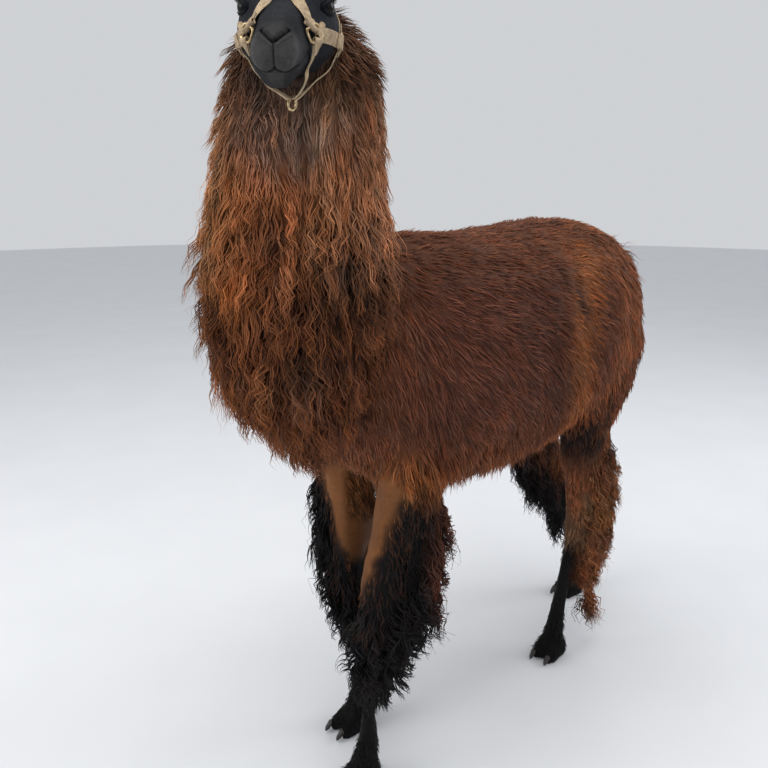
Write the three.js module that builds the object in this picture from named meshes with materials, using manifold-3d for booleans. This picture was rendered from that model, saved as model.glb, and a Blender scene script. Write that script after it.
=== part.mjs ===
// A standing llama in its winter coat, with a webbing halter, at life size in millimetres.
//
// The llama faces -Y, its left side is +X and +Z is up. Every solid is the outer shape of the animal, out to the
// tips of the coat. Sizes are given in a body frame whose floor is z = 0 and whose X = 0 is the spine; the whole
// group is moved at the end so that its origin is the middle of its base.

import * as THREE from "three";
import { mergeVertices } from "three/addons/utils/BufferGeometryUtils.js";
import Module from "manifold-3d";

const wasm = await Module();
wasm.setup();

// ---------------------------------------------------------------- driving sizes, in millimetres and degrees

const GAP = 0.4; // clear space left between pieces that meet
const CLEANING = 0.16; // how far a corner may move when slivers left by a cut are cleaned away
const BACK_HEIGHT = 1158; // floor to the top of the back, coat included
const BELLY_HEIGHT = 600; // floor to the underside of the belly coat
const BARREL_HALF_WIDTH = 242;
const HEAD_YAW = 47.7; // the head is turned towards the llama's left
const HEAD_PITCH = 18.2; // nose down from level
const HEAD_PLACE = new THREE.Vector3(45, -449, 1502); // back of the skull, on the head's axis
const EYE_RADIUS = 18;
const EYE_PLACE = { side: 51, ahead: 113, up: 19 }; // eyeball centre in the head's frame
const STRAP_WIDTH = 20;
const STRAP_THICKNESS = 2.4;
const RING_WIRE_RADIUS = 2.2;

const UP = new THREE.Vector3(0, 0, 1);
const FORWARD = new THREE.Vector3(0, -1, 0);

// ---------------------------------------------------------------- materials

function coat(colour, roughness = 0.9) {
  return new THREE.MeshStandardMaterial({ color: colour, roughness, metalness: 0 });
}

const brownWool = coat(0x5a2f1c);
const darkWool = coat(0x1c1614);
const blackFace = coat(0x17171a, 0.75);
const hornNail = coat(0x2a2622, 0.55);
const eyeGlaze = coat(0x0b0908, 0.08);
const webbing = coat(0xc2a878, 0.85);
const brass = new THREE.MeshStandardMaterial({ color: 0xb9a06a, roughness: 0.35, metalness: 1 });

// ---------------------------------------------------------------- solids

// Closed triangles as a solid that can be joined and cut.
function solidOf(geometry) {
  const bare = new THREE.BufferGeometry();
  bare.setAttribute("position", geometry.getAttribute("position").clone());
  if (geometry.index) bare.setIndex(geometry.index);
  const merged = mergeVertices(bare, 1e-3);
  const made = new wasm.Manifold(
    new wasm.Mesh({
      numProp: 3,
      vertProperties: merged.attributes.position.array,
      triVerts: new Uint32Array(merged.index.array),
    }),
  );
  return made;
}

function geometryOf(solid) {
  const mesh = solid.getMesh();
  const count = mesh.numVert;
  const places = new Float32Array(count * 3);
  for (let i = 0; i < count; i++) {
    places.set(mesh.vertProperties.subarray(i * mesh.numProp, i * mesh.numProp + 3), i * 3);
  }
  const geometry = new THREE.BufferGeometry();
  geometry.setAttribute("position", new THREE.BufferAttribute(places, 3));
  geometry.setIndex(new THREE.BufferAttribute(new Uint32Array(mesh.triVerts), 1));
  return geometry;
}

// The largest piece of a solid, without the slivers that a cut can leave.
function mainPiece(solid) {
  return solid.decompose().reduce((a, b) => (a.volume() >= b.volume() ? a : b));
}

// A closed surface over rings of points, each ring with the same number of points.
function skinOver(rings) {
  const sides = rings[0].length;
  const places = [];
  for (const ring of rings) for (const p of ring) places.push(p.x, p.y, p.z);
  const ends = [rings[0], rings[rings.length - 1]];
  for (const ring of ends) {
    const middle = ring.reduce((sum, p) => sum.add(p), new THREE.Vector3()).divideScalar(sides);
    places.push(middle.x, middle.y, middle.z);
  }
  const first = rings.length * sides;
  const faces = [];
  for (let r = 0; r + 1 < rings.length; r++) {
    for (let i = 0; i < sides; i++) {
      const j = (i + 1) % sides;
      const a = r * sides;
      const b = a + sides;
      faces.push(a + i, a + j, b + j, a + i, b + j, b + i);
    }
  }
  const top = (rings.length - 1) * sides;
  for (let i = 0; i < sides; i++) {
    const j = (i + 1) % sides;
    faces.push(first, j, i, first + 1, top + i, top + j);
  }
  if (enclosedVolume(places, faces) < 0) {
    for (let i = 0; i < faces.length; i += 3) [faces[i + 1], faces[i + 2]] = [faces[i + 2], faces[i + 1]];
  }
  const geometry = new THREE.BufferGeometry();
  geometry.setAttribute("position", new THREE.Float32BufferAttribute(places, 3));
  geometry.setIndex(faces);
  return geometry;
}

function enclosedVolume(places, faces) {
  let volume = 0;
  const corner = (k) => new THREE.Vector3().fromArray(places, faces[k] * 3);
  for (let i = 0; i < faces.length; i += 3) {
    volume += corner(i).dot(corner(i + 1).cross(corner(i + 2))) / 6;
  }
  return volume;
}

// A value read along a row of stations by a smooth curve; t runs from 0 to 1 over the row.
function along(row, t) {
  const last = row.length - 1;
  const place = Math.min(Math.max(t, 0), 1) * last;
  const i = Math.min(Math.floor(place), last - 1);
  const f = place - i;
  const at = (k) => row[Math.max(0, Math.min(last, k))];
  const slope0 = (at(i + 1) - at(i - 1)) / 2;
  const slope1 = (at(i + 2) - at(i)) / 2;
  const f2 = f * f;
  const f3 = f2 * f;
  return (
    (2 * f3 - 3 * f2 + 1) * at(i) + (f3 - 2 * f2 + f) * slope0 + (3 * f2 - 2 * f3) * at(i + 1) + (f3 - f2) * slope1
  );
}

// A body part as a row of stations [x, y, z, side, front, back]: a centre, a half width to each side, and how far the
// section reaches towards the part's front and back. `front` is the way that front points.
class Limb {
  constructor(stations, front, squareness = 2) {
    this.rows = [0, 1, 2, 3, 4, 5].map((k) => stations.map((s) => s[k]));
    this.front = front;
    this.power = 2 / squareness;
  }

  centre(t) {
    return new THREE.Vector3(along(this.rows[0], t), along(this.rows[1], t), along(this.rows[2], t));
  }

  // The point on the surface at t along the part, at an angle from its side (0) to its front (90 degrees).
  surface(t, angle, grow = 0) {
    const step = 1e-3;
    const ahead = this.centre(Math.min(t + step, 1)).sub(this.centre(Math.max(t - step, 0))).normalize();
    const front = this.front.clone().addScaledVector(ahead, -this.front.dot(ahead)).normalize();
    const side = new THREE.Vector3().crossVectors(ahead, front);
    const c = Math.cos(angle);
    const s = Math.sin(angle);
    const reach = s >= 0 ? along(this.rows[4], t) : along(this.rows[5], t);
    const across = (Math.max(along(this.rows[3], t), 1) + grow) * Math.sign(c) * Math.abs(c) ** this.power;
    const up = (Math.max(reach, 1) + grow) * Math.sign(s) * Math.abs(s) ** this.power;
    return this.centre(t).addScaledVector(side, across).addScaledVector(front, up);
  }

  geometry(rings, sides, grow = 0) {
    const list = [];
    for (let r = 0; r <= rings; r++) {
      const ring = [];
      for (let i = 0; i < sides; i++) ring.push(this.surface(r / rings, (i / sides) * 2 * Math.PI, grow));
      if (grow && (r === 0 || r === rings)) {
        const out = r === 0 ? this.centre(0).sub(this.centre(0.01)) : this.centre(1).sub(this.centre(0.99));
        out.setLength(grow);
        for (const p of ring) p.add(out);
      }
      list.push(ring);
    }
    return skinOver(list);
  }
}

// ---------------------------------------------------------------- trunk, neck and tail

const barrelMiddle = (BACK_HEIGHT + BELLY_HEIGHT) / 2;
const barrelUp = BACK_HEIGHT - barrelMiddle;
const barrelDown = barrelMiddle - BELLY_HEIGHT;

const trunk = new Limb(
  [
    // x, y, z, half width, up to the back, down to the belly
    [0, -432, 890, 60, 80, 80],
    [0, -390, 900, 128, 160, 150],
    [0, -300, 905, 180, 230, 230],
    [0, -190, barrelMiddle + 15, 214, barrelUp - 12, barrelDown - 18],
    [0, -60, barrelMiddle, 236, barrelUp - 6, barrelDown],
    [0, 90, barrelMiddle, BARREL_HALF_WIDTH, barrelUp - 4, barrelDown + 4],
    [0, 230, barrelMiddle + 12, BARREL_HALF_WIDTH - 6, barrelUp - 6, barrelDown - 8],
    [0, 360, barrelMiddle + 30, 224, barrelUp - 16, barrelDown - 42],
    [0, 470, barrelMiddle + 45, 198, barrelUp - 48, barrelDown - 82],
    [0, 555, barrelMiddle + 52, 152, barrelUp - 110, barrelDown - 130],
    [0, 606, barrelMiddle + 55, 92, 92, 92],
    [0, 624, barrelMiddle + 55, 28, 30, 30],
  ],
  UP,
  2.15,
);

const neck = new Limb(
  [
    // x, y, z, half width, forwards, backwards
    [4, -392, 722, 30, 34, 30],
    [3, -396, 752, 76, 84, 64],
    [3, -399, 825, 131, 148, 112],
    [6, -402, 930, 167, 184, 152],
    [5, -412, 1045, 172, 190, 160],
    [9, -421, 1160, 162, 177, 166],
    [21, -425, 1275, 146, 155, 154],
    [35, -429, 1375, 132, 134, 142],
    [40, -433, 1432, 124, 118, 132],
    [45, -434, 1476, 86, 82, 104],
    [47, -436, 1508, 46, 44, 62],
    [47, -436, 1524, 16, 16, 22],
  ],
  FORWARD,
  2.1,
);

const tail = new Limb(
  [
    [0, 548, 1058, 30, 24, 24],
    [0, 592, 1064, 44, 34, 32],
    [1, 630, 1030, 54, 40, 38],
    [3, 648, 960, 60, 42, 42],
    [5, 652, 880, 56, 38, 38],
    [6, 650, 805, 40, 28, 28],
    [7, 648, 762, 12, 10, 10],
  ],
  new THREE.Vector3(0, 1, 0.3),
);

// ---------------------------------------------------------------- legs

// Each leg runs from inside the trunk to the foot. Knees and hocks are at `jointHeight`.
const FETLOCK_HEIGHT = 88;

const legs = {
  left_fore: {
    jointHeight: 362,
    foot: { x: 70, y: -338, turn: 2 },
    shape: [
      [110, -262, 830, 66, 82, 92],
      [106, -238, 700, 68, 80, 86],
      [96, -254, 600, 53, 58, 62],
      [83, -286, 490, 43, 46, 46],
      [76, -316, 395, 38, 41, 39],
      [75, -322, 350, 37, 42, 37],
      [73, -324, 290, 27, 28, 28],
      [72, -324, 210, 21, 22, 24],
      [71, -322, 140, 21, 23, 25],
      [70, -322, 104, 26, 27, 29],
      [70, -330, 66, 29, 29, 30],
      [70, -334, 36, 29, 31, 32],
    ],
  },
  right_fore: {
    jointHeight: 362,
    foot: { x: -76, y: -232, turn: -3 },
    shape: [
      [-112, -250, 830, 66, 82, 92],
      [-114, -222, 700, 65, 80, 86],
      [-106, -220, 600, 53, 58, 62],
      [-94, -227, 490, 43, 46, 46],
      [-86, -234, 395, 36, 40, 38],
      [-83, -234, 350, 36, 41, 37],
      [-80, -226, 290, 26, 28, 28],
      [-78, -216, 210, 21, 22, 24],
      [-77, -210, 140, 21, 23, 25],
      [-76, -210, 104, 26, 27, 29],
      [-76, -220, 66, 29, 29, 30],
      [-76, -224, 36, 29, 31, 32],
    ],
  },
  left_hind: {
    jointHeight: 425,
    foot: { x: 76, y: 344, turn: 4 },
    shape: [
      [116, 420, 985, 76, 110, 112],
      [130, 402, 870, 88, 146, 150],
      [130, 378, 760, 82, 128, 140],
      [122, 356, 660, 64, 84, 98],
      [108, 364, 560, 47, 52, 64],
      [97, 382, 480, 35, 36, 46],
      [93, 390, 425, 32, 33, 44],
      [91, 387, 350, 25, 27, 32],
      [88, 375, 260, 22, 23, 25],
      [84, 360, 180, 21, 22, 24],
      [80, 352, 112, 26, 27, 29],
      [77, 348, 66, 29, 29, 30],
      [76, 348, 36, 29, 31, 32],
    ],
  },
  right_hind: {
    jointHeight: 425,
    foot: { x: -72, y: 662, turn: -4 },
    shape: [
      [-118, 430, 985, 76, 110, 120],
      [-134, 418, 870, 94, 152, 158],
      [-136, 420, 760, 88, 138, 138],
      [-132, 440, 660, 68, 92, 96],
      [-120, 496, 560, 48, 56, 66],
      [-106, 564, 480, 36, 38, 46],
      [-100, 598, 425, 32, 33, 44],
      [-96, 612, 350, 25, 27, 32],
      [-88, 632, 260, 22, 23, 25],
      [-80, 654, 180, 21, 22, 24],
      [-74, 670, 112, 26, 27, 29],
      [-72, 670, 66, 29, 29, 30],
      [-72, 666, 36, 29, 31, 32],
    ],
  },
};

// The long wool that hangs behind the forearm and knee, and behind the gaskin and hock.
const fringes = {
  left_fore: [
    [122, -206, 668, 22, 20, 22],
    [122, -194, 630, 44, 38, 48],
    [120, -194, 560, 52, 40, 72],
    [114, -206, 480, 56, 42, 84],
    [102, -238, 400, 62, 74, 90],
    [92, -270, 330, 62, 108, 84],
    [83, -288, 265, 57, 96, 70],
    [77, -300, 212, 47, 66, 48],
    [75, -306, 176, 18, 22, 18],
  ],
  right_fore: [
    [-136, -236, 690, 26, 26, 26],
    [-144, -224, 650, 66, 62, 66],
    [-146, -216, 560, 84, 80, 86],
    [-138, -214, 480, 84, 82, 90],
    [-122, -218, 400, 68, 78, 86],
    [-103, -216, 330, 54, 82, 74],
    [-92, -217, 265, 48, 70, 58],
    [-86, -218, 215, 36, 48, 40],
    [-84, -216, 188, 12, 14, 14],
  ],
  left_hind: [
    [134, 404, 640, 24, 24, 26],
    [138, 412, 600, 46, 56, 60],
    [134, 424, 520, 54, 78, 74],
    [130, 434, 430, 56, 70, 74],
    [128, 436, 350, 52, 58, 64],
    [126, 432, 280, 44, 48, 52],
    [126, 428, 205, 30, 30, 34],
    [126, 428, 132, 10, 10, 10],
  ],
  right_hind: [
    [-142, 440, 640, 24, 24, 26],
    [-142, 468, 600, 50, 70, 62],
    [-134, 500, 520, 56, 112, 76],
    [-124, 540, 430, 54, 104, 74],
    [-116, 566, 350, 46, 66, 58],
    [-108, 584, 280, 36, 34, 42],
    [-104, 592, 215, 14, 14, 16],
  ],
};

const TOE = { halfWidth: 17.5, length: 96, spread: 18, splay: 4, heel: 36 };

// One toe of a foot, pointing forwards from the heel; `side` is 1 for the toe on the +X side.
function toeGeometry(side) {
  const ahead = (share) => TOE.heel - share * TOE.length;
  const out = (share) => side * (TOE.spread + share * TOE.length * Math.sin(THREE.MathUtils.degToRad(TOE.splay)) * 0.5);
  const w = TOE.halfWidth;
  const shape = new Limb(
    [
      [out(0), ahead(0), 20, w * 0.45, 12, 12],
      [out(0.1), ahead(0.1), 21, w * 0.9, 26, 30],
      [out(0.35), ahead(0.35), 22, w * 1.04, 32, 34],
      [out(0.62), ahead(0.62), 19, w, 25, 30],
      [out(0.86), ahead(0.86), 15, w * 0.84, 16, 24],
      [out(1), ahead(1), 12, w * 0.4, 7, 10],
    ],
    UP,
    2.3,
  );
  return shape.geometry(5, 7);
}

// The nail that caps a toe: a short horn cone that curves down to the floor.
function nailGeometry(side) {
  const tip = TOE.heel - TOE.length;
  const x = side * (TOE.spread + TOE.length * 0.035);
  const shape = new Limb(
    [
      [x, tip + 22, 24, 6.5, 6, 8],
      [x, tip + 9, 22, 8.5, 7, 12],
      [x, tip - 2, 16, 7.2, 6, 10],
      [x, tip - 9, 9.5, 4.4, 4, 6],
      [x, tip - 12, 5.5, 1.6, 1.6, 2],
    ],
    UP,
  );
  return shape.geometry(3, 6);
}

const FLOOR_NORMAL = [0, 0, 1];

function atFoot(geometry, foot) {
  const turn = THREE.MathUtils.degToRad(foot.turn);
  const place = new THREE.Matrix4().makeRotationZ(turn).setPosition(foot.x, foot.y, 0);
  return geometry.applyMatrix4(place);
}

// ---------------------------------------------------------------- head

const headFrame = new THREE.Group();
headFrame.position.copy(HEAD_PLACE);
headFrame.rotation.set(THREE.MathUtils.degToRad(HEAD_PITCH), 0, THREE.MathUtils.degToRad(HEAD_YAW), "ZXY");
headFrame.updateMatrixWorld(true);

// In the head's own frame the nose points to -Y. The axis runs from the back of the skull to the middle of the lips.
const HEAD_LENGTH = 306;
const skull = new Limb(
  [
    // x, y, z, half width, up to the crown or bridge, down to the jaw
    [0, 16, 2, 20, 20, 22],
    [0, 2, 0, 44, 44, 46],
    [0, -28, -4, 60, 62, 70],
    [0, -62, -8, 71, 76, 76],
    [0, -100, -10, 73, 72, 72],
    [0, -134, -11, 64, 57, 62],
    [0, -168, -11, 50, 45, 54],
    [0, -204, -11, 40, 38, 49],
    [0, -238, -11, 36, 35, 47],
    [0, -264, -11, 34.5, 31, 47],
    [0, -285, -12, 31.5, 24, 43],
    [0, -300, -14, 23.5, 15, 29],
    [0, -HEAD_LENGTH, -15, 11, 6, 12],
  ],
  UP,
  2.25,
);

const MOUTH = { corner: 208, heightAtLips: -30, heightAtCorner: -24 };

// The space of the lower jaw: below the line of the mouth, from its corner to the chin.
function jawSpace(grow) {
  const tilt = Math.atan2(MOUTH.heightAtLips - MOUTH.heightAtCorner, HEAD_LENGTH - MOUTH.corner);
  const block = new THREE.BoxGeometry(120, 160 + 2 * grow, 60 + 2 * grow);
  block.translate(0, -80, -30);
  block.rotateX(-tilt);
  block.translate(0, -MOUTH.corner, MOUTH.heightAtCorner);
  return block;
}

function earShape(side, inner) {
  const base = { x: side * 40, y: -56, z: 56 };
  const thick = inner ? 7 : 10;
  const wide = inner ? 0.72 : 1;
  const ahead = inner ? -9 : 0;
  return new Limb(
    [
      [base.x, base.y, base.z - 6, 15 * wide, thick, thick],
      [base.x + side * 6, base.y + 3 + ahead, base.z + 22, 21 * wide, thick, thick],
      [base.x + side * 15, base.y + 8 + ahead, base.z + 58, 23 * wide, thick, thick],
      [base.x + side * 20, base.y + 12 + ahead, base.z + 94, 19 * wide, thick * 0.85, thick * 0.85],
      [base.x + side * 17, base.y + 10 + ahead, base.z + 124, 12 * wide, thick * 0.6, thick * 0.6],
      [base.x + side * 9, base.y + 6 + ahead, base.z + 144, 3.5 * wide, 2.5, 2.5],
    ],
    FORWARD,
  );
}

function eyeball(side, grow = 0) {
  const ball = new THREE.SphereGeometry(EYE_RADIUS + grow, 10, 7);
  ball.translate(side * EYE_PLACE.side, -EYE_PLACE.ahead, EYE_PLACE.up);
  return ball;
}

// ---------------------------------------------------------------- halter

// A point on the head at `ahead` millimetres from the back of the skull, at an angle from its left side over its top,
// lifted off the surface along the surface's own normal.
function onHead(ahead, degrees, lift) {
  const angle = THREE.MathUtils.degToRad(degrees);
  const t = stationOf(ahead);
  // The surface runs from +X at angle 180 to -X at angle 0, so the angle is turned round here.
  const turned = Math.PI - angle;
  const here = skull.surface(t, turned);
  const step = 0.01;
  const lengthwise = skull.surface(Math.min(t + step, 1), turned).sub(skull.surface(t - step, turned));
  const around = skull.surface(t, turned + step).sub(skull.surface(t, turned - step));
  const normal = new THREE.Vector3().crossVectors(lengthwise, around).normalize();
  const outward = here.clone().sub(skull.centre(t));
  if (normal.dot(outward) < 0) normal.negate();
  return { place: here.addScaledVector(normal, lift), normal };
}

// How far along the skull's row of stations a distance from the back of the skull is.
function stationOf(ahead) {
  let low = 0;
  let high = 1;
  for (let i = 0; i < 30; i++) {
    const middle = (low + high) / 2;
    if (-skull.centre(middle).y < ahead) low = middle;
    else high = middle;
  }
  return (low + high) / 2;
}

// A knot of a strap: [distance from the back of the skull, degrees from the left side over the top, extra lift] on
// the head, or { place, normal } for a knot that hangs free of it.
function knotAt(knot, lift) {
  if (!Array.isArray(knot)) return { place: new THREE.Vector3(...knot.place), normal: new THREE.Vector3(...knot.normal) };
  const [ahead, degrees, more = 0] = knot;
  return onHead(ahead, degrees, lift + more);
}

// A flat strap over a row of knots. `extra` widens it on every side, for the slot it lies in.
function strapGeometry({ knots, width = STRAP_WIDTH, lift = 1.6, steps = 16 }, extra = 0) {
  const ends = knots.map((knot) => knotAt(knot, lift));
  const path = new THREE.CatmullRomCurve3(ends.map((knot) => knot.place));
  const facing = new THREE.CatmullRomCurve3(ends.map((knot) => knot.normal));
  const rings = [];
  for (let i = 0; i <= steps; i++) {
    const place = path.getPoint(i / steps);
    const ahead = path.getTangent(i / steps);
    const across = new THREE.Vector3().crossVectors(facing.getPoint(i / steps), ahead).normalize();
    const normal = new THREE.Vector3().crossVectors(ahead, across);
    const half = width / 2 + extra;
    if (extra && i === 0) place.addScaledVector(ahead, -extra);
    if (extra && i === steps) place.addScaledVector(ahead, extra);
    rings.push(
      [
        [half, -extra],
        [half, STRAP_THICKNESS + extra],
        [-half, STRAP_THICKNESS + extra],
        [-half, -extra],
      ].map(([a, b]) => place.clone().addScaledVector(across, a).addScaledVector(normal, b)),
    );
  }
  return skinOver(rings);
}

// A closed surface over rings that run back into the first one.
function loopOver(rings) {
  const sides = rings[0].length;
  const places = rings.flatMap((ring) => ring.flatMap((p) => [p.x, p.y, p.z]));
  const faces = [];
  for (let r = 0; r < rings.length; r++) {
    const a = r * sides;
    const b = ((r + 1) % rings.length) * sides;
    for (let i = 0; i < sides; i++) {
      const j = (i + 1) % sides;
      faces.push(a + i, a + j, b + j, a + i, b + j, b + i);
    }
  }
  if (enclosedVolume(places, faces) < 0) {
    for (let i = 0; i < faces.length; i += 3) [faces[i + 1], faces[i + 2]] = [faces[i + 2], faces[i + 1]];
  }
  const geometry = new THREE.BufferGeometry();
  geometry.setAttribute("position", new THREE.Float32BufferAttribute(places, 3));
  geometry.setIndex(faces);
  return geometry;
}

const SIDE_RING = { ahead: 205, degrees: 14, halfLength: 12, halfHeight: 10, turn: 30 };
const REAR_RING = { ahead: 82, degrees: -14, halfLength: 11, halfHeight: 9.5, turn: 0 };
const CHIN_RING = { place: [7, -176, -91], radius: 8.5 };
const RING_LIFT = 4.2;

const acrossTo = (degrees, side) => (side > 0 ? degrees : 180 - degrees);

// The straps on one side of the head; `side` is 1 for the llama's left.
function sideStraps(side) {
  const at = (ahead, degrees, more = 0) => [ahead, acrossTo(degrees, side), more];
  return {
    cheek_strap: {
      knots: [at(190, 10, 9), at(170, 4, 5), at(150, -1, 1), at(118, -8), at(98, -12)],
      lift: 2.2,
      steps: 8,
    },
    chin_strap: {
      knots: [
        at(206, -4, 5),
        at(203, -36, 1.5),
        { place: [side * 28 + 1, -194, -66], normal: [side, 0, -0.75] },
        { place: [side * 11 + 7, -178, -84], normal: [side, 0, -1] },
      ],
      width: 12,
      steps: 10,
    },
    jaw_strap: {
      knots: [
        at(88, -26),
        at(104, -50, 4),
        { place: [side * 36 + 2, -142, -80], normal: [side, 0, -1] },
        { place: [side * 10 + 7, -169, -88], normal: [side, 0, -1.4] },
      ],
      width: 12,
      steps: 12,
    },
  };
}

const topStraps = {
  noseband: {
    knots: [
      [200, 30, 5],
      [188, 44, 1],
      [170, 59],
      [154, 72],
      [147, 90],
      [154, 108],
      [170, 121],
      [188, 136, 1],
      [200, 150, 5],
    ],
    steps: 16,
    lift: 2.2,
  },
  crown_strap: {
    knots: [
      [66, -8],
      [46, 10],
      [26, 40],
      [16, 90],
      [26, 140],
      [46, 170],
      [66, 188],
    ],
    steps: 20,
    lift: 2.2,
  },
};

// A closed loop of round wire through points, lying across `normal`.
function wireLoop(points, normal, radius) {
  const rings = points.map((point, i) => {
    const next = points[(i + 1) % points.length];
    const previous = points[(i + points.length - 1) % points.length];
    const out = new THREE.Vector3().crossVectors(next.clone().sub(previous), normal).normalize();
    return [0, 1, 2, 3, 4].map((k) => {
      const angle = (k / 5) * 2 * Math.PI;
      return point
        .clone()
        .addScaledVector(out, radius * Math.cos(angle))
        .addScaledVector(normal, radius * Math.sin(angle));
    });
  });
  return loopOver(rings);
}

// An oblong loop on the head, its front edge turned in by spot.turn degrees from lying flat.
function oblongRing(spot, side, grow = 0) {
  const degrees = acrossTo(spot.degrees, side);
  const turn = THREE.MathUtils.degToRad(spot.turn);
  const { place, normal: out } = onHead(spot.ahead, degrees, RING_LIFT + 0.8 * spot.halfLength * Math.sin(turn));
  const flat = new THREE.Vector3(0, -1, 0).addScaledVector(out, out.y).normalize();
  const up = new THREE.Vector3().crossVectors(out, flat);
  const ahead = flat.clone().multiplyScalar(Math.cos(turn)).addScaledVector(out, -Math.sin(turn));
  const normal = out.clone().multiplyScalar(Math.cos(turn)).addScaledVector(flat, Math.sin(turn));
  const points = [];
  for (let i = 0; i < 12; i++) {
    const angle = ((i + 0.5) / 12) * 2 * Math.PI;
    const c = Math.sign(Math.cos(angle)) * Math.abs(Math.cos(angle)) ** 0.55;
    const d = Math.sign(Math.sin(angle)) * Math.abs(Math.sin(angle)) ** 0.55;
    points.push(place.clone().addScaledVector(ahead, spot.halfLength * c).addScaledVector(up, spot.halfHeight * d));
  }
  return wireLoop(points, normal, RING_WIRE_RADIUS + grow);
}

// The ring that hangs under the chin, where a lead would be clipped.
function hangingRing(grow = 0) {
  const points = [];
  const across = new THREE.Vector3(0.6, 0.8, 0);
  const [x, y, z] = CHIN_RING.place;
  const reach = CHIN_RING.radius;
  for (let i = 0; i < 12; i++) {
    const angle = (i / 12) * 2 * Math.PI;
    const middle = new THREE.Vector3(x, y, z - reach);
    middle.addScaledVector(across, reach * Math.cos(angle));
    middle.addScaledVector(UP, reach * Math.sin(angle));
    points.push(middle);
  }
  return wireLoop(points, new THREE.Vector3(0.8, -0.6, 0), RING_WIRE_RADIUS + grow);
}

// ---------------------------------------------------------------- the llama

const llama = new THREE.Group();
llama.name = "llama";

function addPiece(name, solid, material, group = llama) {
  group.updateMatrixWorld(true);
  const geometry = geometryOf(solid.simplify(CLEANING)).applyMatrix4(group.matrixWorld.clone().invert());
  const mesh = new THREE.Mesh(geometry, material);
  mesh.name = name;
  group.add(mesh);
}

const inHead = (geometry) => solidOf(geometry.applyMatrix4(headFrame.matrixWorld));

const trunkSolid = solidOf(trunk.geometry(16, 18));
const trunkRoom = solidOf(trunk.geometry(16, 18, GAP));
const neckShape = solidOf(neck.geometry(14, 16));
const neckRoom = solidOf(neck.geometry(14, 16, GAP));
const headShape = inHead(skull.geometry(16, 14));
const headRoom = inHead(skull.geometry(16, 14, GAP));

// Head: the skull less the eye sockets and the lower jaw.
const sockets = wasm.Manifold.union([1, -1].map((side) => inHead(eyeball(side, GAP))));
const jaw = headShape.intersect(inHead(jawSpace(0)));
const earsRoom = [];

function makeHead() {
  const earHollow = (side) => inHead(earShape(side, true).geometry(5, 7));
  for (const [side, label] of [
    [1, "left"],
    [-1, "right"],
  ]) {
    const ear = inHead(earShape(side, false).geometry(6, 9)).subtract(earHollow(side));
    const clear = mainPiece(ear.subtract(headRoom));
    addPiece("ear_" + label, clear, blackFace, headFrame);
    earsRoom.push(inHead(earShape(side, false).geometry(6, 9, GAP)));
    addPiece("eye_" + label, inHead(eyeball(side)), eyeGlaze, headFrame);
  }
  const upper = headShape.subtract(sockets).subtract(inHead(jawSpace(GAP)));
  addPiece("head", mainPiece(upper), blackFace, headFrame);
  addPiece("lower_jaw", mainPiece(jaw), blackFace, headFrame);
}

// Halter: straps and rings round the head, with the slots that they need in the wool.
const halter = new THREE.Group();
halter.name = "halter";
const halterSlots = [];
let halterSoFar = headRoom;

function addHalterPiece(name, geometry, room, material) {
  const whole = inHead(geometry);
  addPiece("halter_" + name, mainPiece(whole.subtract(halterSoFar)), material, halter);
  const slot = inHead(room);
  halterSoFar = halterSoFar.add(slot);
  halterSlots.push(slot);
}

function makeHalter() {
  const near = 0.6;
  for (const [side, label] of [
    [1, "left"],
    [-1, "right"],
  ]) {
    addHalterPiece("side_ring_" + label, oblongRing(SIDE_RING, side), oblongRing(SIDE_RING, side, near), brass);
    addHalterPiece("rear_ring_" + label, oblongRing(REAR_RING, side), oblongRing(REAR_RING, side, near), brass);
  }
  addHalterPiece("chin_ring", hangingRing(), hangingRing(near), brass);
  for (const [name, strap] of Object.entries(topStraps)) {
    addHalterPiece(name, strapGeometry(strap), strapGeometry(strap, near), webbing);
  }
  for (const [side, label] of [
    [1, "left"],
    [-1, "right"],
  ]) {
    for (const [name, strap] of Object.entries(sideStraps(side))) {
      addHalterPiece(name + "_" + label, strapGeometry(strap), strapGeometry(strap, near), webbing);
    }
  }
}

llama.add(headFrame);
headFrame.add(halter);
makeHead();
makeHalter();

// Neck: everything between the trunk and the head, out to the tips of the wool.
const neckSolid = mainPiece(
  wasm.Manifold.difference([neckShape, trunkRoom, headRoom, sockets, ...earsRoom, ...halterSlots]),
);
addPiece("trunk", trunkSolid, brownWool);
addPiece("neck", neckSolid, brownWool);
addPiece("tail", mainPiece(solidOf(tail.geometry(8, 8)).subtract(trunkRoom)), brownWool);

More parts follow.
